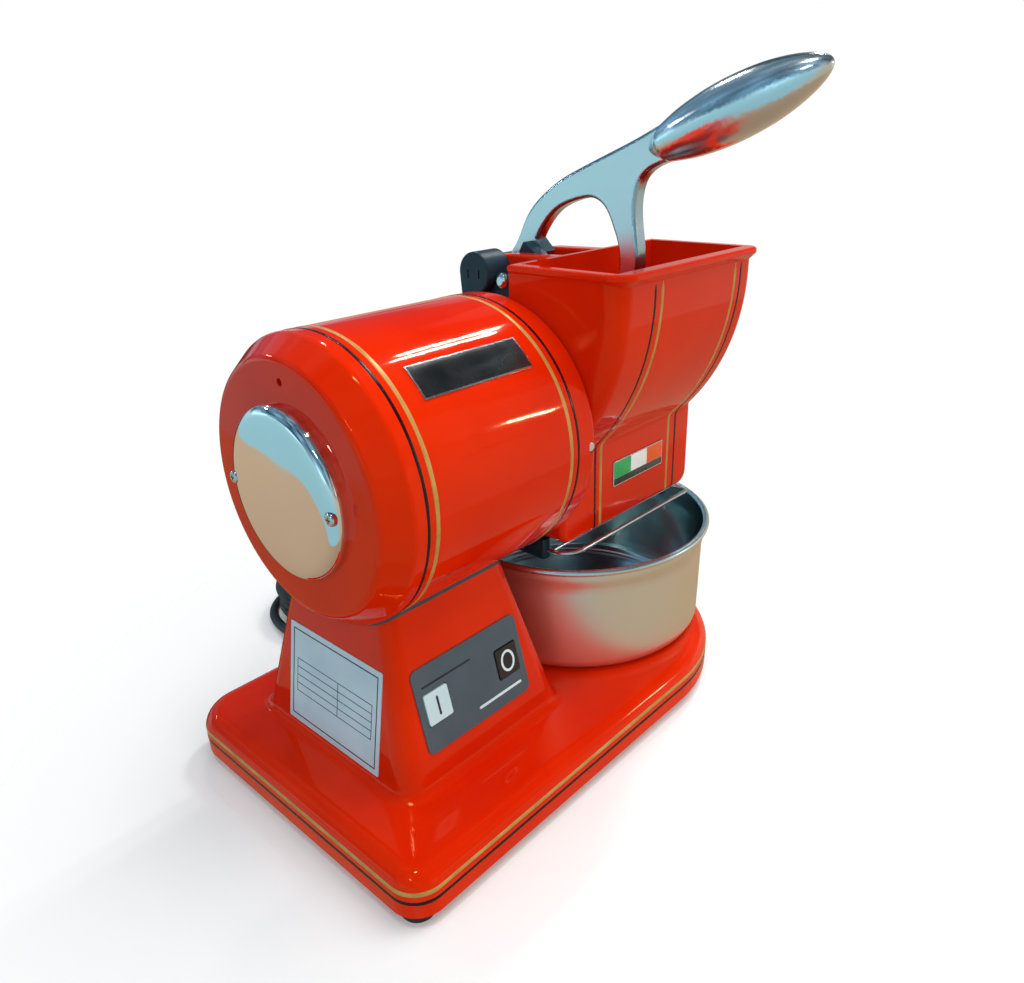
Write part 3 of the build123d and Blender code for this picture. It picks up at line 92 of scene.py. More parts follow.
class Mat:
    def __init__(self, name, **consts):
        self.m = bpy.data.materials.new(name)
        self.m.use_nodes = True
        self.t = self.m.node_tree
        self.b = self.t.nodes["Principled BSDF"]
        self.co = self.t.nodes.new("ShaderNodeTexCoord").outputs["Object"]
        for k, v in consts.items():
            if k in ("color", "tint"):
                v = (*v, 1.0)
            self.b.inputs[SOCKETS[k]].default_value = v

    def node(self, kind, **props):
        n = self.t.nodes.new(kind)
        for k, v in props.items():
            setattr(n, k, v)
        return n

    def link(self, a, b):
        self.t.links.new(a, b)

    def moved(self, scale=(1, 1, 1), rot=(0, 0, 0), loc=(0, 0, 0), src=None):
        n = self.node("ShaderNodeMapping")
        n.inputs["Scale"].default_value = scale
        n.inputs["Rotation"].default_value = rot
        n.inputs["Location"].default_value = loc
        self.link(src or self.co, n.inputs["Vector"])
        return n.outputs["Vector"]

    def noise(self, scale, detail=2.0, rough=0.5, src=None, distort=0.0):
        n = self.node("ShaderNodeTexNoise")
        n.inputs["Scale"].default_value = scale
        n.inputs["Detail"].default_value = detail
        n.inputs["Roughness"].default_value = rough
        n.inputs["Distortion"].default_value = distort
        self.link(src or self.co, n.inputs["Vector"])
        return n.outputs["Fac"]

    def ramp(self, fac, *stops):
        n = self.node("ShaderNodeValToRGB")
        r = n.color_ramp
        while len(r.elements) < len(stops):
            r.elements.new(0.5)
        for e, (at, col) in zip(r.elements, stops):
            e.position = at
            e.color = (*col, 1.0)
        self.link(fac, n.inputs["Fac"])
        return n.outputs["Color"]

    def span(self, fac, a, b, lo=0.3, hi=0.7):
        n = self.node("ShaderNodeMapRange")
        n.inputs["From Min"].default_value = lo
        n.inputs["From Max"].default_value = hi
        n.inputs["To Min"].default_value = a
        n.inputs["To Max"].default_value = b
        self.link(fac, n.inputs["Value"])
        return n.outputs["Result"]

    def mix(self, fac, a, b):
        n = self.node("ShaderNodeMix", data_type="RGBA")
        self.link(fac, n.inputs[0])
        for s, v in ((n.inputs[6], a), (n.inputs[7], b)):
            if isinstance(v, tuple):
                s.default_value = (*v, 1.0)
            else:
                self.link(v, s)
        return n.outputs[2]

    def bump(self, height, strength, distance, under=None):
        n = self.node("ShaderNodeBump")
        n.inputs["Strength"].default_value = strength
        n.inputs["Distance"].default_value = distance
        self.link(height, n.inputs["Height"])
        if under is not None:
            self.link(under, n.inputs["Normal"])
        return n.outputs["Normal"]

    def color(self, out):
        self.link(out, self.b.inputs["Base Color"])

    def rough(self, out):
        self.link(out, self.b.inputs["Roughness"])

    def normal(self, out):
        self.link(out, self.b.inputs["Normal"])


def make_enamel(name, lo, hi):
    # sprayed gloss enamel over a casting: slight colour drift, orange peel, soft waves
    a = Mat(name, spec=0.44, tint=(1.0, 0.47, 0.15))
    a.color(a.ramp(a.noise(14.0, 3.0), (0.35, lo), (0.68, hi)))
    a.rough(a.span(a.noise(60.0, 3.0), 0.035, 0.075))
    waves = a.bump(a.noise(24.0, 1.0), 0.05, 0.0020)
    a.normal(a.bump(a.noise(520.0, 2.0), 0.03, 0.0003, under=waves))
    return a.m


ENAMEL = make_enamel("enamel_red", (0.70, 0.014, 0.0006), (0.78, 0.022, 0.0008))


def make_line(name, lo, hi, metal, rough):
    # hand-drawn lining colour: uneven along the stroke
    a = Mat(name, metal=metal, spec=0.3)
    a.color(a.ramp(a.noise(85.0, 4.0, 0.6), (0.30, lo), (0.70, hi)))
    a.rough(a.span(a.noise(240.0), rough - 0.06, rough + 0.06))
    a.normal(a.bump(a.noise(900.0), 0.08, 0.0003))
    return a.m


GOLD_LINE = make_line("lining_gold", (0.46, 0.23, 0.045), (0.62, 0.36, 0.10), 0.15, 0.34)
BLACK_LINE = make_line("lining_black", (0.008, 0.002, 0.002), (0.018, 0.005, 0.004), 0.0, 0.26)


def make_metal(name, lo, hi, r0, r1, grain, grain_scale, strength, distance, rot=(0, 0, 0), aniso=0.0):
    a = Mat(name, metal=1.0, aniso=aniso)
    g = a.noise(grain_scale, 3.0, 0.6, src=a.moved(scale=grain, rot=rot))
    tone = a.noise(18.0, 3.0)
    a.color(a.mix(tone, lo, hi))
    a.rough(a.span(g, r0, r1, 0.25, 0.75))
    a.normal(a.bump(g, strength, distance))
    return a.m


SATIN_ALU = make_metal("aluminium_ground", (0.80, 0.86, 0.88), (0.88, 0.92, 0.93), 0.27, 0.31, (14.0, 3.0, 14.0), 9.0, 0.015, 0.0003)
POLISHED_ALU = make_metal("aluminium_polished", (0.74, 0.82, 0.86), (0.84, 0.90, 0.93), 0.17, 0.23, (26.0, 1.0, 26.0), 7.0, 0.035, 0.0005,
                          rot=(math.radians(21.19), 0, 0))
# the lever's own aluminium made darker and bluer for its rounded edges and end faces: painted shade and reflection
ARM_EDGE_PAINTED_SHADE = make_metal("aluminium_edge_painted_shade", (0.30, 0.44, 0.53), (0.46, 0.60, 0.69), 0.15, 0.24, (12.0, 12.0, 12.0), 8.0, 0.03, 0.0004)
# the bowl's own steel made brighter and cyan for the rolled rim: a painted highlight and reflection
RIM_PAINTED_HIGHLIGHT = make_metal("steel_rim_painted_highlight", (0.66, 0.82, 0.87), (0.76, 0.90, 0.94), 0.26, 0.34, (20.0, 20.0, 20.0), 8.0, 0.03, 0.0003)
MIRROR = make_metal("steel_mirror", (0.82, 0.85, 0.86), (0.90, 0.92, 0.93), 0.02, 0.05, (30.0, 6.0, 6.0), 10.0, 0.015, 0.0002)
STAINLESS = make_metal("steel_bright", (0.62, 0.66, 0.68), (0.74, 0.77, 0.78), 0.12, 0.24, (8.0, 40.0, 40.0), 9.0, 0.06, 0.0003)
STEEL = make_metal("steel_plain", (0.44, 0.46, 0.48), (0.58, 0.60, 0.61), 0.24, 0.38, (40.0, 40.0, 40.0), 6.0, 0.08, 0.0003)
CAST_ALU = make_metal("aluminium_cast", (0.48, 0.49, 0.50), (0.60, 0.61, 0.62), 0.40, 0.56, (60.0, 60.0, 60.0), 5.0, 0.22, 0.0005)
IRON = make_metal("iron_laminated", (0.16, 0.16, 0.17), (0.24, 0.24, 0.25), 0.45, 0.6, (400.0, 4.0, 4.0), 4.0, 0.25, 0.0004)
COPPER = make_metal("copper_wire", (0.50, 0.20, 0.09), (0.64, 0.28, 0.13), 0.30, 0.45, (12.0, 160.0, 160.0), 5.0, 0.35, 0.0006)
BRASS = make_metal("brass_pins", (0.60, 0.44, 0.18), (0.74, 0.57, 0.27), 0.20, 0.32, (8.0, 120.0, 120.0), 6.0, 0.06, 0.0003)
ZINC = make_metal("zinc_sheet", (0.42, 0.43, 0.44), (0.56, 0.57, 0.58), 0.36, 0.54, (10.0, 10.0, 10.0), 6.0, 0.05, 0.0003)


def make_bowl_outside():
    # satin steel: fine upright grain on the wall; its warm champagne colour is a painted reflection of the tan bench
    a = Mat("bowl_satin", metal=0.9, spec=0.4)
    grain = a.noise(6.0, 4.0, 0.65, src=a.moved(scale=(160.0, 160.0, 3.0)))
    a.color(a.mix(a.noise(11.0, 3.0), (0.78, 0.735, 0.61), (0.84, 0.795, 0.67)))
    a.rough(a.span(grain, 0.31, 0.38, 0.25, 0.75))
    a.normal(a.bump(grain, 0.05, 0.0003))
    return a.m


def make_bowl_inside():
    # polished inside: concentric polishing marks about the bowl's axis; the pale cyan colour is a painted reflection of
    # the blue room
    a = Mat("bowl_polished", metal=1.0)
    c = P(79.7, 0, 0)
    v = a.moved(loc=(-c.x, -c.y, 0.0))
    flat = a.node("ShaderNodeVectorMath", operation="MULTIPLY")
    flat.inputs[1].default_value = (1, 1, 0)
    a.link(v, flat.inputs[0])
    d = a.node("ShaderNodeVectorMath", operation="LENGTH")
    a.link(flat.outputs["Vector"], d.inputs[0])
    x = a.node("ShaderNodeCombineXYZ")
    a.link(d.outputs["Value"], x.inputs["X"])
    z = a.node("ShaderNodeSeparateXYZ")
    a.link(v, z.inputs["Vector"])
    a.link(z.outputs["Z"], x.inputs["Y"])
    rings = a.noise(900.0, 3.0, 0.6, src=x.outputs["Vector"])
    a.color(a.mix(a.noise(16.0, 3.0), (0.62, 0.82, 0.86), (0.74, 0.93, 0.96)))
    a.rough(a.span(rings, 0.14, 0.22, 0.25, 0.75))
    a.normal(a.bump(rings, 0.05, 0.0003))
    return a.m


BOWL_OUT = make_bowl_outside()
BOWL_IN = make_bowl_inside()


def make_plastic(name, lo, hi, r0, r1, grain=1500.0, strength=0.12, spec=0.45):
    a = Mat(name, spec=spec)
    a.color(a.ramp(a.noise(38.0, 4.0), (0.35, lo), (0.65, hi)))
    a.rough(a.span(a.noise(120.0, 3.0), r0, r1))
    a.normal(a.bump(a.noise(grain, 2.0), strength, 0.0002))
    return a.m


BLACK_PLASTIC = make_plastic("plastic_black", (0.004, 0.022, 0.036), (0.008, 0.032, 0.050), 0.38, 0.52)
DARK_PLASTIC = make_plastic("plastic_dark", (0.010, 0.008, 0.008), (0.018, 0.014, 0.013), 0.34, 0.46)
WHITE_PLASTIC = make_plastic("plastic_white", (0.60, 0.80, 0.85), (0.66, 0.86, 0.90), 0.36, 0.46, strength=0.05)
PANEL_GREY = make_plastic("panel_slate", (0.060, 0.094, 0.118), (0.072, 0.108, 0.134), 0.40, 0.50, grain=900.0, strength=0.06)
LABEL_WHITE = make_plastic("label_film", (0.53, 0.63, 0.68), (0.60, 0.69, 0.73), 0.34, 0.46, grain=700.0, strength=0.03)
INK_DARK = make_plastic("ink_dark", (0.008, 0.012, 0.018), (0.018, 0.024, 0.032), 0.40, 0.52, strength=0.03)
INK_WHITE = make_plastic("ink_white", (0.70, 0.88, 0.91), (0.76, 0.92, 0.95), 0.40, 0.52, strength=0.03)
RUBBER = make_plastic("rubber_black", (0.010, 0.010, 0.011), (0.022, 0.022, 0.024), 0.55, 0.72, grain=700.0, strength=0.2, spec=0.35)
GASKET = make_plastic("gasket_slate", (0.034, 0.052, 0.066), (0.055, 0.080, 0.098), 0.42, 0.58, grain=420.0, strength=0.25)
CORD = make_plastic("cord_black", (0.009, 0.010, 0.011), (0.019, 0.020, 0.022), 0.34, 0.48, grain=420.0, strength=0.10)
BLACK_ENAMEL = make_plastic("plate_black", (0.006, 0.007, 0.008), (0.022, 0.024, 0.025), 0.16, 0.26, grain=500.0, strength=0.03)
FLAG_GREEN = make_plastic("enamel_green", (0.005, 0.42, 0.11), (0.008, 0.50, 0.14), 0.20, 0.30, grain=500.0, strength=0.03)
FLAG_WHITE = make_plastic("enamel_white", (0.93, 0.95, 0.95), (0.98, 0.99, 0.99), 0.20, 0.30, grain=500.0, strength=0.03)
FLAG_RED = make_plastic("enamel_orange", (0.92, 0.10, 0.010), (0.98, 0.13, 0.015), 0.20, 0.30, grain=500.0, strength=0.03)
FLAG_BAND = make_plastic("enamel_band", (0.014, 0.022, 0.032), (0.040, 0.052, 0.064), 0.24, 0.34, grain=1400.0, strength=0.2)


# ------------------------------------------------------------------
# building pieces
# ------------------------------------------------------------------
def place(name, me, body, nodes=(), mats=()):
    ob = bpy.data.objects.new(name, me)
    SCENE.collection.objects.link(ob)
    for m in mats:
        me.materials.append(m)
    if nodes:
        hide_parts(*nodes)
    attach(ob, body)
    return ob


def shade(bm, degrees=30.0):
    limit = math.radians(degrees)
    for f in bm.faces:
        f.smooth = True
    for e in bm.edges:
        if len(e.link_faces) == 2:
            e.smooth = e.calc_face_angle(0.0) < limit
        else:
            e.smooth = False


def to_mesh(bm, name, degrees=30.0):
    bmesh.ops.recalc_face_normals(bm, faces=bm.faces)
    shade(bm, degrees)
    me = bpy.data.meshes.new(name)
    bm.to_mesh(me)
    bm.free()
    return me


def even_normals(ob):
    m = ob.modifiers.new("even_normals", "WEIGHTED_NORMAL")
    m.keep_sharp = True
    m.weight = 60
    return ob


def round_edges(ob, width, segments=2, degrees=32.0):
    m = ob.modifiers.new("round_edges", "BEVEL")
    m.width = width * 0.001
    m.segments = segments
    m.limit_method = "ANGLE"
    m.angle_limit = math.radians(degrees)
    m.use_clamp_overlap = True
    m.miter_outer = "MITER_ARC"
    return ob


def skin(node, mats, degrees=30.0, edge=0.0, segments=2, pick=None, edge_degrees=32.0):
    """The node's own shape, welded and shaded smoothly, with small edge radii."""
    bm = bmesh.new()
    bm.from_mesh(NODES[node].data)
    bmesh.ops.remove_doubles(bm, verts=bm.verts, dist=2e-6)
    bmesh.ops.dissolve_degenerate(bm, edges=bm.edges, dist=1e-7)
    if edge:
        bmesh.ops.dissolve_limit(bm, angle_limit=math.radians(0.6), verts=bm.verts, edges=bm.edges)
    if pick:
        for f in bm.faces:
            f.material_index = pick(f)
    me = to_mesh(bm, node + "_look", degrees)
    ob = place(node + "_look", me, BODY_OF[node], (node,), mats)
    if edge:
        round_edges(ob, edge, segments, edge_degrees)
    return even_normals(ob)


def arc(cx, cy, r, a0, a1, n):
    return [(cx + r * math.cos(math.radians(a0 + (a1 - a0) * i / n)), cy + r * math.sin(math.radians(a0 + (a1 - a0) * i / n)))
            for i in range(n + 1)]


def smooth(pts, n=8):
    """Points of a smooth curve through pts."""
    out = []
    for i in range(len(pts) - 1):
        p0 = pts[max(i - 1, 0)]
        p1, p2 = pts[i], pts[i + 1]
        p3 = pts[min(i + 2, len(pts) - 1)]
        for k in range(n):
            t = k / n
            out.append(tuple(0.5 * (2 * b + (c - a) * t + (2 * a - 5 * b + 4 * c - d) * t * t + (3 * b - a - 3 * c + d) * t ** 3)
                             for a, b, c, d in zip(p0, p1, p2, p3)))
    return out + [pts[-1]]


def lathe(profile, origin, axis, seg=192, closed=True, mat_of=None):
    """Turns a profile of (along axis, radius) in mm about an axis through origin."""
    axis = Vector(axis).normalized()
    u = axis.orthogonal().normalized()
    v = axis.cross(u)
    bm = bmesh.new()
    rings = []
    for s, r in profile:
        c = origin + axis * (s * 0.001)
        if r < 1e-6:
            rings.append([bm.verts.new(c)])
        else:
            rings.append([bm.verts.new(c + (u * math.cos(2 * math.pi * k / seg) + v * math.sin(2 * math.pi * k / seg)) * (r * 0.001))
                          for k in range(seg)])
    pairs = list(zip(range(len(rings)), range(1, len(rings))))
    if closed:
        pairs.append((len(rings) - 1, 0))
    for n, (i, j) in enumerate(pairs):
        a, b = rings[i], rings[j]
        for k in range(seg):
            k2 = (k + 1) % seg
            if len(a) == 1 and len(b) == 1:
                continue
            if len(a) == 1:
                f = bm.faces.new((a[0], b[k], b[k2]))
            elif len(b) == 1:
                f = bm.faces.new((a[k], b[0], a[k2]))
            else:
                f = bm.faces.new((a[k], b[k], b[k2], a[k2]))
            if mat_of:
                f.material_index = mat_of(n)
    return bm


def ribbon(name, path, normals, width, mat, body, closed=False, height=0.14, taper=0.0):
    """A raised painted line: a shallow cushion-shaped strip that follows path on a surface."""
    bm = bmesh.new()
    n = len(path)
    loops = []
    sect = ((-1.0, -0.35), (-0.82, 0.72), (-0.4, 0.96), (0.4, 0.96), (0.82, 0.72), (1.0, -0.35))
    for i, (p, nrm) in enumerate(zip(path, normals)):
        if closed:
            t = path[(i + 1) % n] - path[i - 1]
        else:
            t = path[min(i + 1, n - 1)] - path[max(i - 1, 0)]
        nrm = nrm.normalized()
        s = t.cross(nrm).normalized()
        w = width * (1.0 + 0.05 * math.sin(i * 0.61) + 0.035 * math.sin(i * 0.23 + 1.3))
        if taper and not closed:
            w *= min(1.0, 0.25 + 0.75 * min(i, n - 1 - i) / taper)
        loops.append([bm.verts.new(p + s * (a * w * 0.0005) + nrm * (h * height * 0.001)) for a, h in sect])
    m = len(sect)
    for i in range(n if closed else n - 1):
        a, b = loops[i], loops[(i + 1) % n]
        for k in range(m):
            bm.faces.new((a[k], b[k], b[(k + 1) % m], a[(k + 1) % m]))
    if not closed:
        bm.faces.new(loops[0])
        bm.faces.new(loops[-1][::-1])
    return place(name, to_mesh(bm, name, 40.0), body, (), (mat,))


def prism(bm, origin, ux, uy, un, pts, z0, z1, lid=0.0):
    """Adds a flat raised shape: outline pts in mm on the plane, from z0 to z1 along the normal, with a small rounded lid edge."""
    cx = sum(p[0] for p in pts) / len(pts)
    cy = sum(p[1] for p in pts) / len(pts)

    def ring(z, pull):
        out = []
        for x, y in pts:
            d = math.hypot(x - cx, y - cy) or 1.0
            k = max(0.0, 1.0 - pull / d)
            out.append(bm.verts.new(origin + (ux * (cx + (x - cx) * k) + uy * (cy + (y - cy) * k) + un * z) * 0.001))
        return out

    rings = [ring(z0, 0.0), ring(z1 - lid, 0.0)]
    if lid:
        rings.append(ring(z1 - 0.3 * lid, 0.45 * lid))
        rings.append(ring(z1, 1.2 * lid))
    n = len(pts)
    for a, b in zip(rings, rings[1:]):
        for k in range(n):
            bm.faces.new((a[k], a[(k + 1) % n], b[(k + 1) % n], b[k]))
    bm.faces.new(rings[0][::-1])
    bm.faces.new(rings[-1])


def rounded(w, h, r, cx=0.0, cy=0.0, n=6):
    pts = []
    for sx, sy, a in ((1, 1, 0), (-1, 1, 90), (-1, -1, 180), (1, -1, 270)):
        pts += arc(cx + sx * (w / 2 - r), cy + sy * (h / 2 - r), r, a, a + 90, n)
    return pts


def bar(x0, y0, x1, y1, w, n=6):
    """A line with round ends from (x0, y0) to (x1, y1), w wide."""
    a = math.degrees(math.atan2(y1 - y0, x1 - x0))
    return arc(x1, y1, w / 2, a - 90, a + 90, n) + arc(x0, y0, w / 2, a + 90, a + 270, n)


# ------------------------------------------------------------------
# mains cord: one spline from the gland through the coil to the plug
# ------------------------------------------------------------------
COIL = (-4.0, 172.0)


def coil_at(r, deg, z):
    return (COIL[0] + r * math.cos(math.radians(deg)), COIL[1] + r * math.sin(math.radians(deg)), z)


ROUTE = [(-55.5, 118.0, 18.5), (-55.5, 132.0, 18.5), (-55.5, 144.6, 15.1), (-55.5, 158.4, 7.3), (-55.5, 171.0, 3.8),
         coil_at(51.5, 154, 3.6), coil_at(50.2, 130, 3.6), coil_at(47.5, 108, 3.6)]
# turns: (degrees of travel, radius from, radius to, height from, height to)
TURNS = [(720, 44, 30, 3.5, 3.5), (60, 30, 30, 3.5, 10.5), (720, 30, 44, 10.5, 10.5), (60, 44, 44, 10.5, 17.5),
         (720, 44, 30, 17.5, 17.5), (60, 30, 31.5, 17.5, 24.5), (540, 31.5, 44, 24.5, 24.5)]
STEP = 22.5
REACH = 1.0195
total = sum(t[0] for t in TURNS)
k = 1
while k * STEP < total - 1.0:
    gone = k * STEP
    left = gone
    for span, r0, r1, z0, z1 in TURNS:
        if left <= span:
            f = left / span
            ROUTE.append(coil_at((r0 + (r1 - r0) * f) * REACH, 90.0 - gone, z0 + (z1 - z0) * f))
            break
        left -= span
    k += 1
ROUTE += [(-1.0, 216.0, 24.5), (11.5, 216.0, 24.0), (27.5, 216.0, 19.8), (44.5, 216.0, 13.6), (60.0, 216.0, 11.0), (73.0, 216.0, 11.0)]

curve = bpy.data.curves.new("mains_cord", "CURVE")
curve.dimensions = "3D"
spline = curve.splines.new("NURBS")
spline.points.add(len(ROUTE) - 1)
for pt, q in zip(spline.points, ROUTE):
    pt.co = (*P(*q), 1.0)
spline.order_u = 3
spline.use_endpoint_u = True
curve.resolution_u = 6
curve.bevel_depth = 0.0035
curve.bevel_resolution = 5
curve.use_fill_caps = True
cord = bpy.data.objects.new("mains_cord", curve)
SCENE.collection.objects.link(cord)
curve.materials.append(CORD)
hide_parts("cord_lead", "cord_coil", "cord_tail")
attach(cord, "machine")

gland = skin("cord_gland", (RUBBER,), edge=0.5)
tie = skin("cord_tie", (CORD,), edge=0.4)
plug = skin("plug_body", (CORD,), edge=0.8, segments=3)
pins = skin("plug_pins", (BRASS,), edge=0.3)

# ------------------------------------------------------------------
# castings in enamel
# ------------------------------------------------------------------
skin("base_casting", (ENAMEL,))
skin("motor_casing", (ENAMEL,))
skin("hopper_body", (ENAMEL,))
skin("saddle_gasket", (GASKET,))

# painted lines round the casing
for name, x, w, m in (("casing_line_1", -113.9, 1.9, BLACK_LINE), ("casing_line_2", -108.4, 2.5, GOLD_LINE),
                      ("casing_line_3", -14.9, 2.5, GOLD_LINE), ("casing_line_4", -9.3, 1.9, BLACK_LINE)):
    n = 240
    nrm = [Vector((0, math.cos(2 * math.pi * i / n), math.sin(2 * math.pi * i / n))) for i in range(n)]
    ribbon(name, [P(x, 74.0 * v.y, AXIS_Z + 74.0 * v.z) for v in nrm], nrm, w, m, "machine", closed=True)

# painted lines round the base
XL, XC, BR, BC, BK = -163.5, 61.0, 102.5, 16.5, 25.0


def base_outline():
    pts = arc(XL + BK, BR - BK, BK, 90, 180, 20) + arc(XL + BC, -BR + BC, BC, 180, 270, 16)
    dirs = [90 + 90 * i / 20 for i in range(21)] + [180 + 90 * i / 16 for i in range(17)]
    m = 24
    for i in range(1, m):
        pts.append((XL + BC + (XC - XL - BC) * i / m, -BR))
        dirs.append(270)
    pts += arc(XC, 0, BR, 270, 450, 72)
    dirs += [270 + 180 * i / 72 for i in range(73)]
    for i in range(1, m):
        pts.append((XC + (XL + BK - XC) * i / m, BR))
        dirs.append(90)
    return pts, dirs


pts, dirs = base_outline()
nrm = [Vector((math.cos(math.radians(a)), math.sin(math.radians(a)), 0)) for a in dirs]
# the upper line lies where the rounding of the top edge starts
ribbon("base_line_1", [P(x, y, 21.7) - n * 0.00007 for (x, y), n in zip(pts, nrm)], [n + Vector((0, 0, 0.115)) for n in nrm], 2.4, GOLD_LINE,
       "machine", closed=True)
ribbon("base_line_2", [P(x, y, 16.2) for x, y in pts], nrm, 2.2, BLACK_LINE, "machine", closed=True)

# painted lines down the hopper's front and the throat
PIV_Y, PIV_Z, FRONT_R, THROAT_Y = 44.0, 265.0, 130.0, 50.0
PHI_F = math.degrees(math.acos((PIV_Y + THROAT_Y) / FRONT_R))


def front_line(name, x, x2, z_top, w, m):
    """From under the rim down the hopper's front, through the hollow above the throat and down the throat."""
    path, nrm = [], []
    for i in range(4):
        path.append(P(x, PIV_Y - FRONT_R, z_top + (PIV_Z - z_top) * i / 4))
        nrm.append(Vector((0, -1, 0)))
    cy = -THROAT_Y - 8.0
    cz = PIV_Z - math.sqrt((FRONT_R + 8.0) ** 2 - (PIV_Y - cy) ** 2)
    end = math.atan2(PIV_Z - cz, PIV_Y - cy)
    for i in range(41):
        a = end * i / 40
        path.append(P(x, PIV_Y - FRONT_R * math.cos(a), PIV_Z - FRONT_R * math.sin(a)))
        nrm.append(Vector((0, -math.cos(a), -math.sin(a))))
    for i in range(1, 9):
        a = end * (1.0 - i / 8)
        path.append(P(x + (x2 - x) * i / 8, cy + 8.0 * math.cos(a), cz + 8.0 * math.sin(a)))
        nrm.append(Vector((0, -math.cos(a), -math.sin(a))))
    for i in range(1, 25):
        path.append(P(x2, -THROAT_Y, cz + (123.5 - cz) * i / 24))
        nrm.append(Vector((0, -1, 0)))
    for i in range(1, 7):
        a = math.radians(55.0 * i / 6)
        path.append(P(x2, -THROAT_Y + 4.0 - 4.0 * math.cos(a), 123.5 - 4.0 * math.sin(a)))
        nrm.append(Vector((0, -math.cos(a), -math.sin(a))))
    ribbon(name, path, nrm, w, m, "machine", taper=3.0)


front_line("hopper_line_1", 38.0, 36.4, 269.6, 1.9, BLACK_LINE)
front_line("hopper_line_2", 44.6, 41.8, 270.6, 2.4, GOLD_LINE)
front_line("hopper_line_3", 119.3, 113.5, 270.6, 2.4, GOLD_LINE)
front_line("hopper_line_4", 126.0, 121.5, 270.6, 1.9, BLACK_LINE)


# ------------------------------------------------------------------
# disc on the casing's end, screws
# ------------------------------------------------------------------
def carve(me, cutters):
    """The mesh with the cutter meshes taken out of it."""
    ob = bpy.data.objects.new("carve_work", me)
    SCENE.collection.objects.link(ob)
    tools = []
    for c in cutters:
        t = bpy.data.objects.new("carve_tool", c)
        SCENE.collection.objects.link(t)
        mod = ob.modifiers.new("cut", "BOOLEAN")
        mod.operation, mod.solver, mod.object = "DIFFERENCE", "EXACT", t
        tools.append(t)
    bpy.context.view_layer.update()
    out = bpy.data.meshes.new_from_object(ob.evaluated_get(bpy.context.evaluated_depsgraph_get()))
    for o in [ob] + tools:
        m = o.data
        bpy.data.objects.remove(o)
        bpy.data.meshes.remove(m)
    return out


dome = smooth([(-142.2, 0.0), (-142.17, 8.0), (-142.1, 16.0), (-141.9, 29.0), (-141.55, 36.0), (-141.0, 39.4), (-139.9, 41.7), (-138.4, 43.0),
               (-136.6, 43.4)], 7)
bm = lathe(dome + [(-134.5, 43.4), (-134.5, 0.0)], P(0, 0, AXIS_Z), (1, 0, 0), seg=256, closed=False)
seats = [to_mesh(lathe([(-146.0, 0.0), (-146.0, 3.5), (-139.3, 3.5), (-139.3, 0.0)], P(0, y, AXIS_Z), (1, 0, 0), seg=48, closed=False), "seat_tool")
         for y in (-39.8, 39.8)]
me = carve(to_mesh(bm, "disc_work", 50), seats)
bm = bmesh.new()
bm.from_mesh(me)
bpy.data.meshes.remove(me)
even_normals(place("end_cover_disc_look", to_mesh(bm, "end_cover_disc_look", 32), "machine", ("end_cover_disc",), (MIRROR,)))
skin("end_cover_screws", (STAINLESS,), degrees=35)
skin("flange_screws", (STAINLESS,), edge=0.9, segments=3)

# ------------------------------------------------------------------
# lever
# ------------------------------------------------------------------
GRIP_AT = P(71.5, -62.0, 333.19)
GRIP_DIR = Vector((0.0, -0.93236, 0.36154))


def lever_part(f):
    """Flat faces 0, turned grip 1, rounded edges and end faces 2 (these get darker, bluer aluminium: painted shade and
    reflection).
    """
    if (f.calc_center_median() - GRIP_AT).dot(GRIP_DIR) > 0.0015:
        return 1
    return 0 if abs(f.normal.x) > 0.98 else 2


skin("lever_arm", (SATIN_ALU, POLISHED_ALU, ARM_EDGE_PAINTED_SHADE), edge=0.3, pick=lever_part)
skin("presser_plate", (SATIN_ALU,), edge=1.0, segments=3)
skin("presser_screws", (STAINLESS,), edge=0.5)
skin("hinge_pin", (STEEL,))
skin("hinge_switch_housing", (BLACK_PLASTIC,), edge=0.5)
skin("hinge_switch_screw", (MIRROR,), degrees=40)
skin("lever_cam_block", (BLACK_PLASTIC,), edge=0.5)
skin("cam_block_screw", (STAINLESS,), edge=0.3)

# ------------------------------------------------------------------
# switch panel with its two push buttons
# ------------------------------------------------------------------
FACE_S = 27.7 / 105.0
FACE_L = math.hypot(1.0, FACE_S)
PANEL_O = P(-73.0, -(63.4 - FACE_S * (71.7 - 30.0)), 71.7)
PANEL_X = Vector((1, 0, 0))
PANEL_N = Vector((0, -1.0 / FACE_L, FACE_S / FACE_L))
PANEL_Y = PANEL_N.cross(PANEL_X)

skin("switch_panel", (PANEL_GREY,), edge=0.3)
skin("start_button", (WHITE_PLASTIC,))
skin("stop_button", (DARK_PLASTIC,))

TOP = 1.5
bm = bmesh.new()
prism(bm, PANEL_O, PANEL_X, PANEL_Y, PANEL_N, bar(-26.1, -4.8, -26.1, 4.8, 1.3), TOP - 0.1, TOP + 0.12, 0.06)
place("start_mark", to_mesh(bm, "start_mark"), "start", (), (INK_DARK,))
bm = bmesh.new()
loops = []
for grow, h in ((-1.5, -0.1), (-1.45, 0.09), (-1.2, 0.13), (-0.25, 0.13), (-0.05, 0.09), (0.0, -0.1)):
    loops.append([bm.verts.new(PANEL_O + (PANEL_X * (26.1 + (5.2 + grow) * math.cos(2 * math.pi * k / 72))
                                          + PANEL_Y * ((6.3 + grow) * math.sin(2 * math.pi * k / 72)) + PANEL_N * (TOP + h)) * 0.001)
                  for k in range(72)])
for a, b in zip(loops, loops[1:] + loops[:1]):
    for k in range(72):
        bm.faces.new((a[k], a[(k + 1) % 72], b[(k + 1) % 72], b[k]))
place("stop_mark", to_mesh(bm, "stop_mark"), "stop", (), (INK_WHITE,))
bm = bmesh.new()
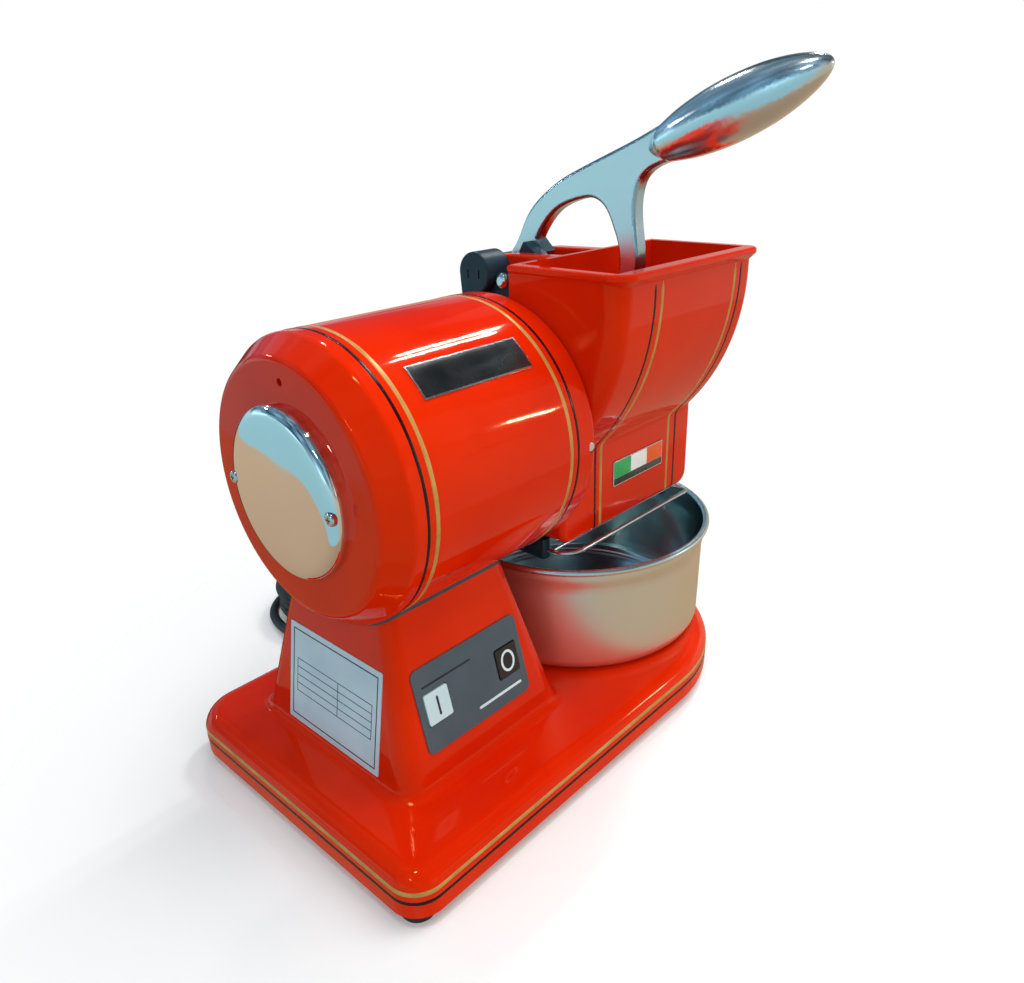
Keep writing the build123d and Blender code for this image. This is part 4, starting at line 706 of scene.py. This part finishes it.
prism(bm, PANEL_O, PANEL_X, PANEL_Y, PANEL_N, bar(-33.0, 12.8, 0.4, 12.8, 1.1), 0.7, 0.92, 0.05)
place("panel_line_dark", to_mesh(bm, "panel_line_dark"), "machine", (), (INK_DARK,))
bm = bmesh.new()
prism(bm, PANEL_O, PANEL_X, PANEL_Y, PANEL_N, bar(0.4, -15.9, 32.2, -15.9, 1.5), 0.7, 0.92, 0.05)
place("panel_line_light", to_mesh(bm, "panel_line_light"), "machine", (), (INK_WHITE,))

# ------------------------------------------------------------------
# label and plates, all without words
# ------------------------------------------------------------------
SIDE_S = 17.4 / 105.0
SIDE_L = math.hypot(1.0, SIDE_S)
LABEL_N = Vector((-1.0 / SIDE_L, 0, SIDE_S / SIDE_L))
LABEL_X = Vector((0, -1, 0))
LABEL_Y = LABEL_N.cross(LABEL_X)
LABEL_O = P(-131.3 + SIDE_S * (66.0 - 30.0), 2.0, 66.0)
skin("rating_label", (LABEL_WHITE,))
bm = bmesh.new()
for a in ((-36.8, 26.4, 36.8, 26.4), (36.8, 26.4, 36.8, -26.4), (36.8, -26.4, -36.8, -26.4), (-36.8, -26.4, -36.8, 26.4)):
    prism(bm, LABEL_O, LABEL_X, LABEL_Y, LABEL_N, bar(*a, 0.7), 0.38, 0.50, 0.03)
for y in (9.0, 4.0, -1.0, -6.0, -11.0):
    prism(bm, LABEL_O, LABEL_X, LABEL_Y, LABEL_N, bar(-33.0, y, 33.0, y, 0.45), 0.38, 0.48, 0.03)
for x in (-33.0, 4.0, 33.0):
    prism(bm, LABEL_O, LABEL_X, LABEL_Y, LABEL_N, bar(x, 9.0, x, -11.0, 0.45), 0.38, 0.48, 0.03)
place("label_frame", to_mesh(bm, "label_frame"), "machine", (), (INK_DARK,))

EDGE_ALU = make_metal("plate_edge", (0.60, 0.63, 0.65), (0.74, 0.77, 0.79), 0.18, 0.30, (40.0, 40.0, 40.0), 8.0, 0.05, 0.0003)
skin("name_plate", (EDGE_ALU,))
bm = bmesh.new()
rows = []
for i in range(25):
    x = -96.2 + (96.2 - 26.3) * i / 24
    row = []
    for j in range(13):
        a = math.radians(127.2 + (140.2 - 127.2) * j / 12)
        edge = i in (0, 24) or j in (0, 12)
        r = 74.72 if edge else 74.80
        row.append(bm.verts.new(P(x, r * math.cos(a), AXIS_Z + r * math.sin(a))))
    rows.append(row)
under = []
for i in range(25):
    x = -96.2 + (96.2 - 26.3) * i / 24
    under.append([bm.verts.new(P(x, 74.6 * math.cos(math.radians(127.2 + 13.0 * j / 12)), AXIS_Z + 74.6 * math.sin(math.radians(127.2 + 13.0 * j / 12))))
                  for j in range(13)])
for i in range(24):
    for j in range(12):
        bm.faces.new((rows[i][j], rows[i + 1][j], rows[i + 1][j + 1], rows[i][j + 1]))
        bm.faces.new((under[i][j], under[i][j + 1], under[i + 1][j + 1], under[i + 1][j]))
for i in range(24):
    for j in (0, 12):
        bm.faces.new((rows[i][j], rows[i + 1][j], under[i + 1][j], under[i][j]))
for j in range(12):
    for i in (0, 24):
        bm.faces.new((rows[i][j], rows[i][j + 1], under[i][j + 1], under[i][j]))
place("name_plate_field", to_mesh(bm, "name_plate_field", 50), "machine", (), (BLACK_ENAMEL,))

skin("tricolour_plate", (EDGE_ALU,), edge=0.2)
FLAG_O = P(80.25, -50.7, 150.8)
FX, FY, FN = Vector((1, 0, 0)), Vector((0, 0, 1)), Vector((0, -1, 0))
for name, x0, x1, y0, y1, m in (("flag_green", -25.5, -8.6, -3.0, 7.4, FLAG_GREEN), ("flag_white", -8.5, 8.5, -3.0, 7.4, FLAG_WHITE),
                                ("flag_orange", 8.6, 25.5, -3.0, 7.4, FLAG_RED), ("flag_band", -25.5, 25.5, -7.4, -3.3, FLAG_BAND)):
    bm = bmesh.new()
    prism(bm, FLAG_O, FX, FY, FN, rounded(x1 - x0, y1 - y0, 0.4, (x0 + x1) / 2, (y0 + y1) / 2), -0.1, 0.14, 0.06)
    place(name, to_mesh(bm, name), "machine", (), (m,))

# ------------------------------------------------------------------
# bowl: spun wall, rolled rim, raised middle
# ------------------------------------------------------------------
outer = [(31.0, 30.5), (31.0, 60.0)] + [(c, r) for r, c in arc(77.2, 39.0, 8.0, -90, 0, 16)]
outer += [(50.0, 85.37), (62.0, 85.56), (75.0, 85.76)] + smooth([(87.0, 85.95), (91.2, 86.4), (96.7, 87.6), (100.6, 87.95)], 6)
rim = [(c, r) for r, c in arc(88.05, 102.9, 2.1, -88, 200, 32)]
inner = smooth([(101.0, 86.68), (97.0, 86.3), (91.5, 85.1), (87.0, 84.65)], 6) + [(75.0, 84.46), (62.0, 84.26), (50.0, 84.07)]
inner += [(c, r) for r, c in arc(77.2, 39.0, 6.7, 0, -90, 14)]
inner += [(32.3, 60.0), (32.3, 45.0), (32.3, 31.2), (32.6, 30.7), (33.4, 30.2), (33.8, 29.6), (33.8, 15.0), (33.8, 0.0)]
lower = [(32.6, 0.0), (32.6, 29.0), (32.2, 29.7), (31.4, 30.2)]
profile = outer + rim + inner + lower
n_out = len(outer) + 6
n_rim = len(outer) + len(rim)
n_in = n_rim + len(inner) - 1
# outer wall takes the warm painted reflection, the inside the cyan painted reflection, the rolled rim the painted
# highlight
bm = lathe(profile, P(79.7, 0, 0), (0, 0, 1), seg=224, mat_of=lambda n: 0 if n < n_out or n >= n_in else (2 if n < n_rim else 1))
even_normals(place("bowl_look", to_mesh(bm, "bowl_look", 40), "bowl", ("bowl",), (BOWL_OUT, BOWL_IN, RIM_PAINTED_HIGHLIGHT)))

# ------------------------------------------------------------------
# rod guard, drum, feet and the rest
# ------------------------------------------------------------------
skin("guard_rods", (STAINLESS,), degrees=40)
skin("guard_rails", (BLACK_PLASTIC,), edge=0.5)
skin("guard_screws", (STEEL,))
skin("grating_drum", (STAINLESS,))
skin("drum_nut", (STEEL,), edge=0.4)
skin("rubber_feet", (RUBBER,), edge=0.8)
skin("foot_screws", (STEEL,))

INSIDE = {"bottom_plate": ZINC, "casing_bolts": STEEL, "front_shield": CAST_ALU, "front_bearing": STEEL, "rear_bearing": STEEL,
          "shaft_seal": RUBBER, "motor_shaft": STEEL, "rotor_core": IRON, "stator_core": IRON, "stator_windings": COPPER,
          "drum_key": STEEL, "switch_body": BLACK_PLASTIC, "capacitor": DARK_PLASTIC, "capacitor_clip": ZINC,
          "terminal_block": WHITE_PLASTIC}
for node, m in INSIDE.items():
    NODES[node].data.materials.clear()
    NODES[node].data.materials.append(m)


# ------------------------------------------------------------------
# floor, light and background
# ------------------------------------------------------------------
def stage_floor():
    bm = bmesh.new()
    rings, seg, size = 10, 96, 0.62
    loops = [[bm.verts.new((size * i / rings * math.cos(2 * math.pi * k / seg), size * i / rings * math.sin(2 * math.pi * k / seg), -0.0002))
              for k in range(seg)] for i in range(1, rings + 1)]
    c = bm.verts.new((0, 0, -0.0002))
    for k in range(seg):
        bm.faces.new((c, loops[0][k], loops[0][(k + 1) % seg]))
    for a, b in zip(loops, loops[1:]):
        for k in range(seg):
            bm.faces.new((a[k], b[k], b[(k + 1) % seg], a[(k + 1) % seg]))
    me = to_mesh(bm, "floor")
    a = Mat("floor_pale", rough=0.6, spec=0.15)
    a.b.inputs["Emission Color"].default_value = (1.0, 1.0, 1.0, 1.0)
    a.b.inputs["Emission Strength"].default_value = 0.10
    a.color(a.ramp(a.noise(3.0, 3.0), (0.3, (0.90, 0.885, 0.86)), (0.7, (0.92, 0.905, 0.88))))
    # the floor fades into the white surround
    grad = a.node("ShaderNodeTexGradient", gradient_type="SPHERICAL")
    a.link(a.moved(scale=(2.6, 2.6, 2.6)), grad.inputs["Vector"])
    clear = a.node("ShaderNodeBsdfTransparent")
    mixer = a.node("ShaderNodeMixShader")
    a.link(a.span(grad.outputs["Fac"], 0.0, 1.0, 0.06, 0.48), mixer.inputs[0])
    a.link(clear.outputs[0], mixer.inputs[1])
    a.link(a.b.outputs[0], mixer.inputs[2])
    out = next(n for n in a.t.nodes if n.type == "OUTPUT_MATERIAL")
    a.link(mixer.outputs[0], out.inputs["Surface"])
    me.materials.append(a.m)
    ob = bpy.data.objects.new("floor", me)
    SCENE.collection.objects.link(ob)
    ob.visible_glossy = False


stage_floor()


def studio():
    """White surround; what shines sees a tan bench, a pale blue room with a bright side and a dim ceiling."""
    world = bpy.data.worlds.new("studio")
    SCENE.world = world
    world.use_nodes = True
    t = world.node_tree
    bg = t.nodes["Background"]

    def ramp(fac, stops):
        n = t.nodes.new("ShaderNodeValToRGB")
        while len(n.color_ramp.elements) < len(stops):
            n.color_ramp.elements.new(0.5)
        for e, (at, col) in zip(n.color_ramp.elements, stops):
            e.position = at
            e.color = (*col, 1.0)
        t.links.new(fac, n.inputs["Fac"])
        return n.outputs["Color"]

    def mix(kind, fac, a, b):
        n = t.nodes.new("ShaderNodeMix")
        n.data_type = "RGBA"
        n.blend_type = kind
        n.clamp_result = False
        for sock, v in ((n.inputs[0], fac), (n.inputs[6], a), (n.inputs[7], b)):
            if isinstance(v, (int, float)):
                sock.default_value = v
            elif isinstance(v, tuple):
                sock.default_value = (*v, 1.0)
            else:
                t.links.new(v, sock)
        return n.outputs[2]

    way = t.nodes.new("ShaderNodeTexCoord").outputs["Generated"]
    sep = t.nodes.new("ShaderNodeSeparateXYZ")
    t.links.new(way, sep.inputs[0])
    mr = t.nodes.new("ShaderNodeMapRange")
    mr.inputs["From Min"].default_value = -1.0
    mr.inputs["From Max"].default_value = 1.0
    t.links.new(sep.outputs["Z"], mr.inputs["Value"])
    def facing(v):
        n = t.nodes.new("ShaderNodeVectorMath")
        n.operation = "DOT_PRODUCT"
        n.inputs[1].default_value = v
        t.links.new(way, n.inputs[0])
        return n.outputs["Value"]

    cool = ramp(mr.outputs["Result"], ((0.30, (0.30, 0.55, 0.62)), (0.45, (0.34, 0.62, 0.69)), (0.52, (0.46, 0.74, 0.81)), (0.555, (0.26, 0.46, 0.56)),
                                       (0.59, (0.13, 0.28, 0.40)), (0.70, (0.11, 0.22, 0.31)), (0.85, (0.11, 0.19, 0.26)), (1.0, (0.13, 0.18, 0.21))))
    warm = ramp(mr.outputs["Result"], ((0.30, (0.50, 0.44, 0.35)), (0.45, (0.54, 0.49, 0.40)), (0.55, (0.50, 0.47, 0.40)), (0.64, (0.24, 0.25, 0.24)),
                                       (0.85, (0.09, 0.12, 0.14)), (1.0, (0.12, 0.15, 0.17))))
    turn = t.nodes.new("ShaderNodeMapRange")
    turn.inputs["From Min"].default_value = -0.25
    turn.inputs["From Max"].default_value = 0.30
    t.links.new(facing(Vector((0.70, -0.71, 0.0))), turn.inputs["Value"])
    room = mix("MIX", turn.outputs["Result"], cool, warm)
    stretch = t.nodes.new("ShaderNodeMapping")
    stretch.inputs["Scale"].default_value = (1.0, 1.0, 1.7)
    t.links.new(way, stretch.inputs["Vector"])
    blot = t.nodes.new("ShaderNodeTexNoise")
    blot.inputs["Scale"].default_value = 2.6
    blot.inputs["Detail"].default_value = 1.0
    t.links.new(stretch.outputs["Vector"], blot.inputs["Vector"])
    panels = ramp(blot.outputs["Fac"], ((0.0, (0.22, 0.26, 0.30)), (0.38, (0.30, 0.34, 0.38)), (0.42, (0.92, 0.94, 0.96)), (0.56, (1.0, 1.0, 1.0)),
                                        (0.60, (1.9, 1.9, 1.9)), (1.0, (2.2, 2.2, 2.2))))
    above = ramp(mr.outputs["Result"], ((0.48, (0, 0, 0)), (0.54, (1, 1, 1))))
    seen = mix("MIX", above, room, mix("MULTIPLY", 1.0, room, panels))
    seen = mix("ADD", 1.0, seen, ramp(facing(Vector((0.85, -0.50, -0.12)).normalized()),
                                      ((0.0, (0, 0, 0)), (0.80, (0, 0, 0)), (0.93, (0.12, 0.11, 0.10)), (1.0, (0.20, 0.18, 0.16)))))
    # the bench ends in a slanting edge behind the machine
    tan = ramp(mr.outputs["Result"], ((0.0, (0.36, 0.25, 0.16)), (0.25, (0.50, 0.355, 0.23)), (0.34, (0.57, 0.41, 0.27))))
    edge = t.nodes.new("ShaderNodeMapRange")
    edge.inputs["From Min"].default_value = -0.449
    edge.inputs["From Max"].default_value = -0.444
    t.links.new(facing(Vector((-0.35, -0.35, 1.0))), edge.inputs["Value"])
    seen = mix("MIX", edge.outputs["Result"], tan, seen)
    dark = ramp(facing(Vector((0.25, 0.92, -0.30)).normalized()), ((0.0, (1, 1, 1)), (0.93, (1, 1, 1)), (0.955, (0.08, 0.12, 0.15)), (1.0, (0.06, 0.09, 0.11))))
    seen = mix("MULTIPLY", 1.0, seen, dark)
    path = t.nodes.new("ShaderNodeLightPath")
    t.links.new(mix("MIX", path.outputs["Is Camera Ray"], seen, (1.0, 1.0, 1.0)), bg.inputs["Color"])
    bg.inputs["Strength"].default_value = 1.0


studio()


def lamp(name, loc, target, along, length, width, power, color=(1, 1, 1), shiny=True):
    """An area light at loc that faces target, its long side along the given direction."""
    d = bpy.data.lights.new(name, "AREA")
    d.shape = "RECTANGLE"
    d.size, d.size_y = length, width
    d.energy = power
    d.color = color
    o = bpy.data.objects.new(name, d)
    SCENE.collection.objects.link(o)
    z = (Vector(loc) - Vector(target)).normalized()
    x = Vector(along)
    x = (x - z * x.dot(z)).normalized()
    m = Matrix((x, z.cross(x), z)).transposed().to_4x4()
    m.translation = Vector(loc)
    o.matrix_world = m
    o.visible_camera = False
    o.visible_glossy = shiny


# broad soft light, and small bright tubes that show as streaks in the gloss
lamp("top", (0.50, -0.35, 1.50), (0, 0, 0.15), (1, 0, 0), 1.2, 1.0, 15.0, shiny=False)
lamp("front", (-0.35, -1.40, 1.10), (0, 0, 0.15), (1, 0, 0), 1.1, 0.8, 7.0, (1.0, 0.97, 0.93), shiny=False)
lamp("left", (-1.50, 0.25, 0.95), (0, 0, 0.15), (0, 1, 0), 0.9, 0.8, 3.0, (0.90, 0.96, 1.0), shiny=False)
lamp("tube_a", (0.98, 0.15, 1.45), (-0.06, -0.01, 0.25), (0.75, 0.0, -0.66), 0.24, 0.022, 3.4)
lamp("tube_b", (0.99, 0.24, 1.43), (-0.06, -0.01, 0.25), (0.75, 0.0, -0.66), 0.24, 0.018, 2.8)
lamp("tube_c", (1.09, -1.12, 0.557), (-0.04, -0.04, 0.216), (0.60, 0.40, -0.69), 0.135, 0.026, 1.3, (1.0, 0.95, 0.85))
lamp("tube_d", (-0.42, -0.15, 1.50), (-0.14, -0.06, 0.03), (0.75, -0.66, 0.0), 0.17, 0.036, 3.0)
lamp("tube_g", (0.50, 0.78, 1.22), (-0.14, -0.06, 0.03), (0.75, -0.66, 0.0), 0.10, 0.03, 1.4)
lamp("tube_e", (-1.30, -0.47, 1.20), (-0.12, -0.01, 0.22), (0.2, 1.0, 0.0), 0.26, 0.05, 0.9)
lamp("tube_f", (-0.50, 1.45, 0.90), (-0.12, 0.0, 0.25), (1.0, 0.3, 0.0), 0.26, 0.05, 0.9)

SCENE.view_settings.view_transform = "Standard"
SCENE.view_settings.look = "None"
SCENE.view_settings.exposure = 0.0
